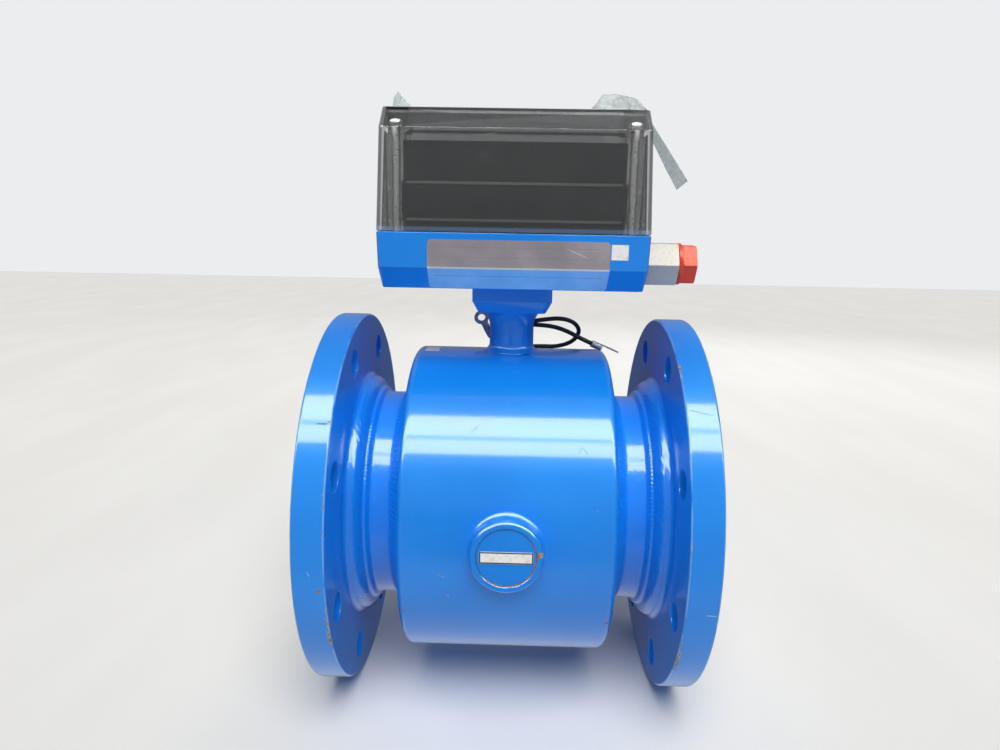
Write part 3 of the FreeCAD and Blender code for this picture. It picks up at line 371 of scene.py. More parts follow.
FLAT = math.radians(0.5)
SHARP = math.radians(28)
WORN_RUNS = ((-1, -0.058, -0.028, 0.52), (-1, 0.003, 0.040, 0.46), (1, -0.074, -0.048, 0.50))


def most_of(fields):
    """The largest of several values at each point."""
    largest = fields[0]
    for field in fields[1:]:
        largest = largest.most(field)
    return largest


def frayed_spot(finish, point, radius, fray, place, cloud=None):
    """1 inside a round spot, 0 outside it: noise moves its edge in and out by fray times
    its radius. The point and the radius are in millimetres."""
    radius = radius/1000
    reach = finish.node("VectorMath", {"operation": "DISTANCE"},
                        {0: place, 1: tuple(v/1000 for v in point)}, "Value")
    cloud = cloud or finish.noise(1.6/radius, 4.0, place)
    return (reach + (cloud - 0.5)*(2*fray*radius)).step(radius, radius*0.8)


def thin_scratch(finish, start, end, width, place):
    """1 on a straight line between two points in millimetres, fading at both its ends. The
    distance aside is the root of the whole offset's square less that along the line."""
    start, end = np.array(start)/1000, np.array(end)/1000
    half = np.linalg.norm(end - start)/2
    middle, along = (start + end)/2, (end - start)/(2*half)
    offset = finish.node("VectorMath", {"operation": "SUBTRACT"},
                         {0: place, 1: tuple(middle.tolist())})
    run = finish.node("VectorMath", {"operation": "DOT_PRODUCT"},
                      {0: offset, 1: tuple(along.tolist())}, "Value")
    square = finish.node("VectorMath", {"operation": "DOT_PRODUCT"},
                         {0: offset, 1: offset}, "Value")
    aside = (square - run*run).most(0.0)**0.5
    width = width/1000
    return aside.step(width, width*0.4)*abs(run).step(half, half*0.6)


def worn_rims(coat, place):
    """Where the flange rims have lost their paint, and a paler line beside each corner: partly
    rubbed paint, partly a painted highlight along the chamfer. A worn run is a side of the
    meter, two heights and the share of paint that stays."""
    x, y, z = coat.axes(place)
    reach = (y*y + z*z)**0.5
    corner = abs(abs(x) - RIM_OUTER).step(*CORNER_WEAR)
    corner = corner.most(abs(abs(x) - RIM_INNER).step(*CORNER_WEAR))
    worn = corner*reach.step(*CORNER_SKIN)*coat.noise(95.0, 5.0, place, 0.7).step(0.60, 0.66)
    flaking = coat.noise(260.0, 5.0, place, 0.7)
    for side, low, high, share in WORN_RUNS:
        run = (z - low).step(-0.003, 0.003)*(z - high).step(0.003, -0.003)
        run = run*(x*side).step(0.0, 0.01)*y.step(-0.05, -0.06)
        skin = abs(x*side - RIM_INNER - 0.0006).step(0.0015, 0.0009)*reach.step(*RIM_SKIN)
        worn = worn.most(run*skin*flaking.step(share, share - 0.04))
    from_middle = abs(abs(x) - (RIM_OUTER + RIM_INNER)/2)
    pale_edge_line = abs(from_middle - PALE_EDGE_FROM_MIDDLE).step(0.0007, 0.0002)
    pale_edge_line = pale_edge_line*reach.step(0.1236, 0.1244)
    return worn, pale_edge_line*coat.noise(40.0, 4.0, place, 0.6).step(0.36, 0.55)


def azure_coat(name, chips=(), rust=(), scratches=(), peel=1.0, cast=0.0, rims=False):
    """Gloss paint with clouds, dust and orange peel. Each chip to the primer and each spot
    of rust is a point and a radius, and each scratch two ends, a width and a colour, in
    millimetres. Peel scales the fine relief, and cast the lumps of a casting."""
    coat = Finish(name, AZURE, 0.34, Coat_Weight=CLEAR_COAT, Coat_Roughness=0.09,
                  Coat_IOR=1.48, Specular_IOR_Level=0.30)
    place = coat.place()
    clouds = coat.noise(14.0, 3.0, place)
    colour = coat.mix(clouds.step(0.35, 0.68), AZURE_THICK, AZURE)
    dust = coat.noise(2300.0, 2.0, place).step(0.69, 0.76)
    colour = coat.mix(dust*0.35, colour, AZURE_DUSTY)
    cuts = []
    for start, end, width, shade in scratches:
        cuts.append(thin_scratch(coat, start, end, width, place))
        colour = coat.mix(cuts[-1]*0.8, colour, shade)
    fray = coat.noise(1300.0, 4.0, place) if chips or rust else None
    flaked = [frayed_spot(coat, point, radius, 0.9, place, fray) for point, radius in chips]
    if rims:
        worn, pale_edge_line = worn_rims(coat, place)
        # A paler line along each rim chamfer: partly rubbed paint, partly painted highlight.
        colour = coat.mix(pale_edge_line*0.55, colour, AZURE_PALE_EDGE)
        flaked.append(worn)
    if flaked:
        under = coat.mix(coat.noise(900.0, 3.0, place).step(0.4, 0.6), PRIMER, BARE_STEEL)
        colour = coat.mix(most_of(flaked), colour, under)
    rusty = [frayed_spot(coat, point, radius, 1.1, place, fray) for point, radius in rust]
    if rusty:
        brown = coat.mix(coat.noise(1200.0, 4.0, place).step(0.4, 0.62), RUST, RUST_BLOOM)
        colour = coat.mix(most_of(rusty), colour, brown)
    coat.feed("Base Color", colour)
    fine = coat.noise(520.0, 2.0, place)
    roughness = 0.26 + clouds*0.08 + fine*0.05
    if cuts + flaked + rusty:
        gone = most_of(cuts + flaked + rusty)
        coat.feed("Coat Weight", CLEAR_COAT - gone*CLEAR_COAT)
        roughness = roughness + gone*0.4
        coat.bump(1.0 - gone, 0.00012)
    coat.feed("Roughness", roughness)
    coat.bump(fine, 0.000018*peel)
    if cast:
        coat.bump(coat.noise(240.0, 4.0, place, 0.6), 0.0003*cast)
        coat.bump(coat.noise(850.0, 3.0, place, 0.6), 0.00008*cast)
    return coat


def softened(node, name, finish, body, width=0.0004):
    """A merged copy of a CAD node whose sharp edges are rounded off by a small width. A
    corner's normal is the mean of its faces' normals, weighted by their areas."""
    form = bmesh.new()
    form.from_mesh(nodes[node].data)
    form.transform(nodes[node].matrix_world)
    bmesh.ops.remove_doubles(form, verts=form.verts, dist=SAME_PLACE)
    bmesh.ops.dissolve_limit(form, angle_limit=FLAT, verts=form.verts, edges=form.edges)
    sharp = [edge for edge in form.edges if edge.calc_face_angle(0) > SHARP]
    bmesh.ops.bevel(form, geom=sharp, offset=width, segments=2, profile=0.5, affect="EDGES")
    form.normal_update()
    normals = []
    for corner in form.verts:
        pull = sum((face.normal*face.calc_area() for face in corner.link_faces),
                   mathutils.Vector())
        normals.append(pull.normalized())
    mesh = bpy.data.meshes.new(name)
    form.to_mesh(mesh)
    form.free()
    mesh.shade_smooth()
    mesh.normals_split_custom_set_from_vertices(normals)
    mesh.materials.clear()
    mesh.materials.append(finish.material)
    made = bpy.data.objects.new(name, mesh)
    bpy.context.scene.collection.objects.link(made)
    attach(made, body)
    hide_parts(node)


flange_chips = (
    ((-100.2, -101.0, 73.6), 1.5), ((-99.6, -124.1, 15.1), 0.9), ((-99.7, -122.5, -25.1), 0.8),
    ((-99.8, -118.0, -41.0), 1.2), ((-99.9, -112.6, -54.4), 1.6), ((-99.4, -80.0, 96.0), 0.8),
    ((99.6, -68.5, 104.5), 1.7), ((99.7, -71.9, 102.2), 1.3), ((99.7, -75.4, 99.7), 1.2),
    ((99.6, -124.7, 8.8), 0.8), ((99.7, -115.1, -48.7), 1.3), ((99.8, -109.0, -61.1), 1.1),
    ((118.4, -86.3, 90.5), 0.9), ((118.4, -123.5, 19.1), 0.7))
flange_rust = (
    ((-103.4, -123.8, -17.3), 1.2), ((-100.1, -113.4, -52.9), 1.1), ((99.9, -70.0, 103.6), 1.0),
    ((99.9, -109.8, -59.7), 0.8), ((118.3, -88.2, 88.6), 0.6))
flange_scratches = (
    ((-108.6, -101.7, 72.6), (-101.2, -101.7, 72.7), 0.5, (0.12, 0.12, 0.14)),
    ((-109.4, -124.9, -5.2), (-107.4, -124.7, -8.1), 0.3, PALE_SCRATCH),
    ((110.8, -122.3, -26.0), (117.4, -122.2, -26.2), 0.4, PALE_SCRATCH),
    ((101.4, -92.9, 83.6), (114.9, -95.5, 80.7), 0.2, DARK_SCRATCH))
flange_coat = azure_coat("azure gloss on the flanges", flange_chips, flange_rust,
                         flange_scratches, rims=True)
for flange in ("flange_left", "flange_right"):
    softened(flange, flange + "_painted", flange_coat, "meter", 0.0005)
paint_on(azure_coat("azure gloss on the tube"), "measuring_tube")

# The necks between flange and housing: the hub is a rough forging, a narrow weld joins it
# to the tube, and a wide hand-laid fillet weld joins the tube to the housing. All of it is
# under the same paint, which shows every ripple. Sizes and heights are in millimetres.
NECK_ROUNDS = 1152
NECK_RUNS = 84
FILLET_ENDS = (65.2, 73.6)
FILLET_MIDDLE = 69.5
FILLET_CRESCENTS = 132
FILLET_BOW = 0.1925
FILLET_RELIEF = (0.13, 0.26, 0.08)
SEAM_PLACE = 87.9
SEAM_WIDTH = 1.5
SEAM_CRESCENTS = 188
SEAM_RELIEF = (0.11, 0.16)
HUB_ENDS = (89.8, 99.0)
HUB_RELIEF = 0.045
SKIN_RELIEF = 0.014
FULL_TURN = 6.28


def even_run(points, count):
    """Points spaced evenly along a polyline, so many in all."""
    points = np.array(points, float)
    reach = np.concatenate([[0], np.cumsum(np.linalg.norm(np.diff(points, axis=0), axis=1))])
    steps = np.linspace(0, reach[-1], count)
    return np.stack([np.interp(steps, reach, points[:, k]) for k in range(points.shape[1])], 1)


def ripple_noise(u, v, seed, waves, low, high):
    """A sum of sine waves with whole numbers round v, random pitch along u and phase."""
    random = np.random.default_rng(seed)
    total = np.zeros(np.broadcast(u, v).shape)
    for _ in range(waves):
        pitch = random.uniform(low, high)
        rounds = random.integers(int(low*6), int(high*14))
        total += np.sin(pitch*u*FULL_TURN + rounds*v + random.uniform(0, FULL_TURN))
    return total/math.sqrt(waves)


root_angle = np.radians(np.linspace(-8, -90, 8))
root_round = np.stack([95.5 + 4.05*np.cos(root_angle), 85.1 + 4.05*np.sin(root_angle)], 1)
neck_run = even_run(np.vstack([
    [(99.9, 86.4), (99.62, 85.6)], root_round,
    [(94.2, 80.4), (92.8, 79.3), (91.5, 77.8), (90.6, 76.2), (90.0, 74.8), (89.4, 73.8),
     (88.5, 73.5), (87.6, 73.1), (86.9, 72.0), (86.2, 70.8), (85.4, 70.05), (84.0, 69.95),
     (80.0, 69.93), (76.4, 69.95), (74.4, 70.0), (73.2, 70.3), (72.2, 71.2), (70.6, 73.2),
     (68.6, 75.6), (66.6, 77.4), (65.2, 78.4), (64.4, 79.0)]]), NECK_RUNS)
neck_along = np.gradient(neck_run, axis=0)
neck_along /= np.linalg.norm(neck_along, axis=1)[:, None]


def neck_skin(name, side, seed, coat):
    """The neck's profile turned round the pipe axis and pushed out by its own relief:
    crescent ripples on both welds, lumps on the forged hub, almost none on the tube."""
    angle = np.linspace(0, 2*math.pi, NECK_ROUNDS, endpoint=False)[None, :]
    x, radius = neck_run[:, :1], neck_run[:, 1:]
    out_x, out_radius = neck_along[:, 1:], -neck_along[:, :1]
    fillet = np.clip((FILLET_ENDS[1] - x)/1.2, 0, 1)*np.clip((x - FILLET_ENDS[0])/1.0, 0, 1)
    seam = np.exp(-((x - SEAM_PLACE)/SEAM_WIDTH)**2)
    hub = np.clip((x - HUB_ENDS[0])/1.5, 0, 1)*np.clip((HUB_ENDS[1] - x)/2.5, 0, 1)
    drift = 0.35*ripple_noise(x*0.02, angle, seed, 8, 0.5, 2.0)
    lumps = ripple_noise(x*0.11, angle, seed + 1, 26, 1.0, 7.0)
    crescents = np.cos(FILLET_CRESCENTS*angle + FILLET_BOW*(x - FILLET_MIDDLE)**2 + 2.2*drift)
    ripples = np.cos(SEAM_CRESCENTS*angle + 0.9*(x - 88.0)**2 + 3.0*drift)
    height = fillet*(FILLET_RELIEF[0]*crescents + FILLET_RELIEF[1]*drift
                     + FILLET_RELIEF[2]*lumps)
    height = height + seam*(SEAM_RELIEF[0]*ripples + SEAM_RELIEF[1]*drift)
    height = height + hub*HUB_RELIEF*lumps + SKIN_RELIEF*lumps
    x = x + out_x*height
    radius = radius + out_radius*height
    points = np.stack([side*x, -side*radius*np.cos(angle), radius*np.sin(angle)], -1)/1000
    surface(name, points, around=True, finish=coat)


neck_coat = azure_coat("azure gloss on rough metal", (((85.0, -50.0, 50.5), 0.6),), cast=0.6)
neck_skin("neck_weld_left", -1, 11, neck_coat)
neck_skin("neck_weld_right", 1, 23, neck_coat)

# The coil housing: a rolled shell with a ring at each end, welded and ground flush, so
# that the paint hides the seams. It has chips, rust spots and a few scratches.
housing_chips = (
    ((-38.9, -101.8, -16.0), 0.35), ((-38.0, -101.7, -16.4), 0.45), ((-37.0, -101.6, -16.9), 0.4),
    ((-36.2, -101.5, -17.3), 0.3), ((-34.6, -98.7, -29.7), 0.35), ((-33.9, -98.4, -30.4), 0.4),
    ((-33.3, -98.2, -31.0), 0.3), ((-20.0, -80.0, 64.9), 0.4), ((52.0, -100.0, 24.6), 0.4),
    ((-47.0, -96.0, 37.3), 0.35), ((12.0, -91.0, 48.2), 0.35))
housing_rust = (
    ((61.0, -89.2, -49.8), 1.5), ((-61.0, -92.6, -43.3), 0.9), ((60.5, -101.5, 16.0), 0.5),
    ((-18.2, -102.2, -12.8), 0.7), ((-13.3, -100.8, -21.1), 0.8), ((-4.4, -99.2, -27.6), 0.6))
housing_scratches = (
    ((40.4, -87.7, 54.0), (42.8, -85.0, 58.1), 0.17, DARK_SCRATCH),
    ((42.8, -85.0, 58.1), (46.2, -87.6, 54.1), 0.17, DARK_SCRATCH),
    ((-24.7, -81.6, 62.8), (-17.3, -77.4, 68.0), 0.17, DARK_SCRATCH),
    ((-48.7, -97.1, 34.3), (-55.6, -101.5, 17.7), 0.25, (0.10, 0.40, 0.86)))
housing_coat = azure_coat("azure gloss on the housing", housing_chips, housing_rust,
                          housing_scratches)
paint_on(housing_coat, "housing_shell", "housing_end_left", "housing_end_right")

# The electrode bosses: short turned sockets on the housing, front and rear, closed by a
# pressed-in cap. The front cap carries a small blank plate, and rust creeps from its seam.
BOSS_BORE_RADIUS = 0.01745
SEAM_DEPTH = 0.1119
SEAM_BEAD = 0.00042
SEAM_UNEVEN = 0.00012
BORDER_INSIDE = ((0.01458, 0.01445), (0.00272, 0.00260))
BORDER_OUTSIDE = ((0.01520, 0.01532), (0.00335, 0.00347))
boss_coat = azure_coat("azure gloss on the bosses", (((19.7, -112.2, 2.6), 1.9),),
                       (((17.8, -112.4, 1.8), 1.5), ((20.5, -111.4, 4.4), 0.9)))
paint_on(boss_coat, "electrode_boss_front", "electrode_boss_rear")
paint_on(azure_coat("azure gloss on the caps"), "boss_cap_front", "boss_cap_rear")
seam = Finish("rusty cap seam", RUST, 0.75)
seam_place = seam.place()
seam_x, _, seam_z = seam.axes(seam_place)
creeping = seam_x*0.8 - seam_z + (seam.noise(160.0, 4.0, seam_place) - 0.5)*0.03
seam.feed("Base Color", seam.mix(creeping.step(-0.006, 0.012), (0.012, 0.10, 0.36),
                                 (0.24, 0.105, 0.045)))
seam.bump(seam.noise(1500.0, 3.0, seam_place), 0.0001)


def cap_seam(name, side):
    """A thin bead: a small circle carried round the cap's edge, uneven in thickness."""
    turn = np.linspace(0, 2*math.pi, 180, endpoint=False)[None, :]
    round_bead = np.linspace(0, 2*math.pi, 12, endpoint=False)[:, None]
    thick = SEAM_BEAD + SEAM_UNEVEN*ripple_noise(0*round_bead, turn, 5, 8, 1.0, 4.0)
    radius = BOSS_BORE_RADIUS - 0.0001 + thick*np.cos(round_bead)
    depth = SEAM_DEPTH + thick*np.sin(round_bead)*0.8
    points = np.stack([side*radius*np.cos(turn), side*depth, radius*np.sin(turn)], -1)
    surface(name, points, around=True, along=True, finish=seam)


cap_seam("cap_seam_front", -1)
cap_seam("cap_seam_rear", 1)
badge = Finish("blank enamel badge", (0.80, 0.80, 0.78), 0.28, Coat_Weight=0.4,
               Coat_Roughness=0.1)
badge_x, _, badge_z = badge.axes(badge.place())
inside = abs(badge_x).step(*BORDER_INSIDE[0])*abs(badge_z).step(*BORDER_INSIDE[1])
outside = abs(badge_x).step(*BORDER_OUTSIDE[0]).most(abs(badge_z).step(*BORDER_OUTSIDE[1]))
border = (1.0 - inside)*(1.0 - outside)
grime = badge.noise(380.0, 4.0)
white = badge.mix(grime.step(0.45, 0.75), (0.82, 0.82, 0.80), (0.66, 0.65, 0.62))
badge.feed("Base Color", badge.mix(border, white, (0.02, 0.022, 0.04)))
badge.feed("Roughness", 0.22 + grime*0.2)
badge.bump(1.0 - border, 0.00004)
paint_on(badge, "badge_plate")

# The neck: one casting of round stem, flared cone and square head, welded to the housing
# by its foot and screwed to the converter from inside. Its skin is slightly grainy.
HOUSING_RADIUS = 103.0
FOOT_RADIUS = 19.6
FOOT_TAPER = 4.62
FOOT_RISE = 4.7
FOOT_SINK = 0.25
FOOT_RIPPLES = 34
cast_coat = azure_coat("azure gloss on castings", peel=1.2, cast=0.12)
softened("neck_casting", "neck_painted", cast_coat, "meter", 0.0005)
stem_angle = np.linspace(0, 2*math.pi, 720, endpoint=False)[None, :]
foot_share = np.linspace(0, 1, 30)[:, None]
foot_drift = ripple_noise(0*foot_share, stem_angle, 8, 6, 0.5, 1.5)
foot_ripple = 0.10*np.cos(FOOT_RIPPLES*stem_angle + 3.0*foot_share**2 + foot_drift)
foot_ripple = foot_ripple*np.sin(math.pi*foot_share)
# A quarter round from the housing up to the stem, lifted by the housing's own curve.
foot_reach = FOOT_RADIUS - FOOT_TAPER*np.sin(math.pi/2*foot_share) + foot_ripple
foot_rise = FOOT_RISE*(1 - np.cos(math.pi/2*foot_share)) - FOOT_SINK + foot_ripple*0.5
foot_y = foot_reach*np.sin(stem_angle)
foot_z = np.sqrt(HOUSING_RADIUS**2 - foot_y**2) + foot_rise
foot_points = np.stack([foot_reach*np.cos(stem_angle), foot_y, foot_z], -1)[:, ::-1]/1000
surface("stem_weld", foot_points, around=True, finish=cast_coat)

# The converter base: a pressure casting in the same azure, open at the top, with sloped
# lower front and rear, and a soft gasket laid in its rim.
base_coat = azure_coat("azure gloss on the converter", (((66.0, -56.9, 165.0), 0.5),), peel=0.7)
softened("converter_base", "base_painted", base_coat, "meter")
gasket = Finish("black foam gasket", (0.018, 0.018, 0.018), 0.85)
pores = gasket.noise(2400.0, 2.0)
gasket.bump(pores, 0.00015)
gasket.feed("Base Color", gasket.mix(pores, (0.012, 0.012, 0.012), (0.04, 0.04, 0.04)))
paint_on(gasket, "cover_gasket", "adapter_seal")

# The name plate: thin aluminium sheet folded over the crease of the base's front and
# stuck down, blank but for printed rules. Beside it and on the housing are blank labels.
CREASE_HEIGHT = 0.1593
CREASE_BAND = (0.1597, 0.1589)
SCRATCH_START = (0.030, 0.1725)
SCRATCH_SLOPE = 0.42
PLATE_RULES = ((0.1716, -0.0440, 0.0500), (0.1655, -0.0440, 0.0500), (0.1545, -0.0470, 0.0535))
CREASE_HIGHLIGHT = (0.85, 0.84, 0.86)
plate = Finish("folded name plate", (0.60, 0.56, 0.57), 0.42, Metallic=0.55, Coat_Weight=0.3,
               Coat_Roughness=0.25)
plate_place = plate.place()
plate_x, _, plate_z = plate.axes(plate_place)
brushed = plate.noise(60.0, 4.0, plate.stretched((0.6, 30.0, 30.0), plate_place), 0.6)
smear = plate.noise(45.0, 4.0, plate_place)
smeared = smear.step(0.35, 0.75)
upper_half = plate.mix(smeared, (0.25, 0.23, 0.27), (0.34, 0.31, 0.35))
# The half below the crease, on the slope, is painted light blue: a painted reflection on the
# metal.
lower_half_blue_reflection = plate.mix(smeared, (0.28, 0.58, 0.76), (0.40, 0.68, 0.84))
sheet = plate.mix(plate_z.step(*CREASE_BAND), upper_half, lower_half_blue_reflection)
for rule_z, low_x, high_x in PLATE_RULES:
    rule = abs(plate_z - rule_z).step(0.00022, 0.00012)
    rule = rule*plate_x.step(low_x - 0.0002, low_x)*plate_x.step(high_x + 0.0002, high_x)
    sheet = plate.mix(rule*0.5, sheet, (0.16, 0.17, 0.30))
# A painted highlight: a bright line along the fold, where the bent sheet would catch the light.
crease = abs(plate_z - CREASE_HEIGHT).step(0.0007, 0.0003)
sheet = plate.mix(crease*0.8, sheet, CREASE_HIGHLIGHT)
fall = (plate_x - SCRATCH_START[0])*SCRATCH_SLOPE
scratch = abs(plate_z - SCRATCH_START[1] + fall).step(0.00032, 0.0001)
scratch = scratch*plate_x.step(0.017, 0.021)*plate_x.step(0.047, 0.040)
sheet = plate.mix(scratch*smear.step(0.42, 0.60)*0.5, sheet, (0.85, 0.83, 0.84))
plate.feed("Base Color", sheet)
plate.feed("Roughness", 0.36 + brushed*0.16 - crease*0.15)
plate.bump(brushed, 0.00002)
paint_on(plate, "name_plate")
paper = Finish("blank printed label", (0.80, 0.80, 0.79), 0.5, Coat_Weight=0.25,
               Coat_Roughness=0.3)
stain = paper.noise(260.0, 5.0)
paper.feed("Base Color", paper.mix(stain.step(0.5, 0.78), (0.80, 0.80, 0.79),
                                   (0.55, 0.57, 0.60)))
paper.feed("Roughness", 0.40 + stain*0.25)
paper.bump(stain, 0.00006)
paint_on(paper, "front_label", "housing_label")

# The electronics: two green boards on a plastic frame, each under a black moulded cover.
# They stand on the base's posts and show only faintly through the smoked hood.
moulding = Finish("black moulded cover", (0.016, 0.017, 0.018), 0.6, Specular_IOR_Level=0.0)
cloudy = moulding.noise(38.0, 3.0)
moulding.feed("Base Color", moulding.mix(cloudy, (0.024, 0.025, 0.027), (0.036, 0.037, 0.039)))
moulding.feed("Roughness", 0.55 + moulding.noise(900.0, 3.0)*0.15)
moulding.bump(moulding.noise(110.0, 2.0), 0.00001)
paint_on(moulding, "electronics_tray", "supply_cover", "signal_cover", "terminal_strip")
laminate = Finish("green board", (0.02, 0.11, 0.045), 0.35, Coat_Weight=0.4,
                  Coat_Roughness=0.15)
board_place = laminate.place()
traces = laminate.node("TexBrick", {"offset": 0.37, "squash": 1.7}, {
    "Vector": board_place, "Scale": 90.0, "Mortar Size": 0.018,
    "Color1": (0.02, 0.12, 0.05), "Color2": (0.018, 0.10, 0.04), "Mortar": (0.05, 0.22, 0.09)})
board_edge = abs(laminate.axes(laminate.node("NewGeometry", output="Normal"))[2]).step(0.6, 0.4)
laminate.feed("Base Color", laminate.mix(board_edge, traces, (0.27, 0.28, 0.24)))
laminate.bump(laminate.noise(700.0, 2.0, board_place), 0.00003)
paint_on(laminate, "supply_board", "signal_board")
core = Finish("stacked iron core", (0.05, 0.05, 0.055), 0.5, Metallic=0.5)
stack = core.node("TexWave", {"bands_direction": "Y"}, {"Scale": 420.0, "Distortion": 0.4})
core.feed("Base Color", core.mix(stack, (0.03, 0.03, 0.033), (0.09, 0.088, 0.085)))
core.bump(stack, 0.0001)
paint_on(core, "mains_transformer")

# The cover: a hood moulded in smoked clear plastic, polished outside, with a hollow
# pillar and an open pocket for a long screw at each corner.
PILLAR_X = 0.0706
PILLAR_Y = 0.0496
PILLAR_SKIN = 0.0069
HOOD_HALF = 0.0820
HOOD_WALL = 0.0030
HOOD_BOTTOM = 0.1805
HOOD_TOP = 0.2538
HOOD_DRAFT = 0.0018/(HOOD_TOP - HOOD_BOTTOM)
ROOF_SKIN = (HOOD_TOP - 0.0026, HOOD_TOP - 0.0021)
FOOT_HIGHLIGHT_BAND = (HOOD_BOTTOM + 0.0034, HOOD_BOTTOM + 0.0020)
BESIDE_PILLAR = (0.0745, 0.0765)
SMOKE_DEPTH = 0.47
SMOKE_BESIDE_PILLAR = 0.14
SMOKE_AT_SLANT = 0.45
SMOKE_IN_WALL = 0.91
SCREW_ENDS = (0.1676, 0.1800)
SCREW_ROOT = 0.00246
SCREW_THREAD = 0.00022
SCREW_PITCH = 0.0008
smoked = Finish("smoked clear plastic", (0.052, 0.056, 0.056), 0.10, Coat_Weight=0.3,
                Coat_Roughness=0.05, Specular_IOR_Level=0.6)
hood_place = smoked.place()
hood_x, hood_y, hood_z = smoked.axes(hood_place)
hood_normal = smoked.node("NewGeometry", output="Normal")
upright = abs(smoked.axes(hood_normal)[1]).step(0.45, 0.65)
away = smoked.node("NewGeometry", output="Backfacing")
facing = smoked.node("LayerWeight", None, {"Blend": 0.32}, "Facing")
haze = smoked.noise(55.0, 4.0, hood_place)
# The eye sees less through the plastic at a slant, through a wall's thickness and beside
# a pillar. Only the faces turned to the eye dim, so that each wall counts once.
into_wall = abs(hood_x) - (HOOD_HALF - HOOD_WALL) + (hood_z - HOOD_BOTTOM)*HOOD_DRAFT
into_wall = into_wall.step(0.0, 0.0005).most(hood_z.step(*ROOF_SKIN))*upright
depth = SMOKE_DEPTH + abs(hood_x).step(*BESIDE_PILLAR)*upright*SMOKE_BESIDE_PILLAR
slanted = facing*SMOKE_AT_SLANT + haze*0.04
depth = depth + slanted.most(into_wall*(SMOKE_IN_WALL - depth))
smoked.feed("Alpha", depth*(1.0 - away))
smoked.feed("Roughness", 0.15 + haze.step(0.45, 0.8)*0.10)
smoke = smoked.mix(haze, (0.056, 0.059, 0.060), (0.082, 0.086, 0.086))
# A painted bluish highlight along the hood's lowest few millimetres, just above the blue base.
smoke = smoked.mix(hood_z.step(*FOOT_HIGHLIGHT_BAND)*0.9, smoke, (0.15, 0.23, 0.38))
# A painted highlight: a pale streak down each pillar, on the faces that are turned to the eye.
from_pillar = ((abs(hood_x) - PILLAR_X)**2.0 + (abs(hood_y) - PILLAR_Y)**2.0)**0.5
painted_pillar_highlight = from_pillar.step(PILLAR_SKIN, PILLAR_SKIN - 0.0003)*facing.step(0.20, 0.03)
smoke = smoked.mix(painted_pillar_highlight, smoke, (0.80, 0.81, 0.80))
scrawl = smoked.noise(60.0, 2.0, smoked.stretched((1.0, 1.0, 3.4), hood_place), 0.4)
scrawl = abs(scrawl - 0.5).step(0.012, 0.002)
scrawl = scrawl*frayed_spot(smoked, (-15.0, -57.3, 229.0), 12.0, 0.5, hood_place)
smoke = smoked.mix(scrawl*0.6, smoke, (0.30, 0.30, 0.29))
smoked.feed("Base Color", smoke)
softened("smoked_cover", "smoked_hood", smoked, "cover", 0.0006)
bright = Finish("bright plated screw", (0.76, 0.76, 0.76), 0.28, Metallic=0.55)
plating = bright.noise(600.0, 3.0)
bright.feed("Base Color", bright.mix(plating, (0.84, 0.84, 0.84), (0.66, 0.66, 0.65)))
bright.feed("Roughness", 0.22 + plating*0.14)
bright.bump(plating, 0.000006)
paint_on(bright, "cover_screws", "neck_screws", "earth_screw", "earth_washer")


def thread_skin(name, ends, centre, radius, depth, pitch, finish, body, upright=False):
    """A screw thread along X or upright: the radius rises by depth and falls back once in
    each pitch, and the ridge moves one pitch along in a turn. Below 0, depth cuts a nut."""
    x = np.linspace(ends[0], ends[1], int((ends[1] - ends[0])/pitch*10))[:, None]
    angle = np.linspace(0, 2*math.pi, 72, endpoint=False)[None, :]
    phase = np.mod(x/pitch - angle/(2*math.pi), 1)
    fade = np.clip((x - ends[0])/pitch, 0, 1)*np.clip((ends[1] - x)/pitch, 0, 1)
    reach = radius + depth*fade*np.clip(1.5 - 3*abs(phase - 0.5), 0, 1)
    points = np.stack([x + 0*angle, centre[0] + reach*np.cos(angle),
                       centre[1] + reach*np.sin(angle)], -1)
    if upright:
        points = points[..., (1, 2, 0)]
    if depth > 0:
        points = points[::-1]
    surface(name, points, around=True, finish=finish, body=body)


for count, (side, end) in enumerate(((-1, -1), (1, -1), (1, 1), (-1, 1))):
    thread_skin(f"cover_screw_thread_{count}", SCREW_ENDS, (side*PILLAR_X, end*PILLAR_Y),
                SCREW_ROOT, SCREW_THREAD, SCREW_PITCH, bright, "cover",
                upright=True)

# The torn tape: clear parcel tape that once held the cover shut, now only loose, creased
# ends on the cover's upper front corners.
FILM_THICKNESS = 0.00012
FILM_GRID = (40, 60)
FILM_CREASES = 9
film = Finish("torn clear tape", (0.42, 0.46, 0.47), 0.4, Coat_Weight=0.1, Coat_Roughness=0.2)
crinkle = film.noise(90.0, 3.0)
film.feed("Alpha", 0.50 + crinkle.step(0.42, 0.70)*0.32)
film.feed("Base Color", film.mix(crinkle.step(0.4, 0.7), (0.20, 0.25, 0.27),
                                 (0.42, 0.46, 0.48)))
film.feed("Roughness", 0.36 + crinkle*0.3)
film.bump(crinkle, 0.0002)


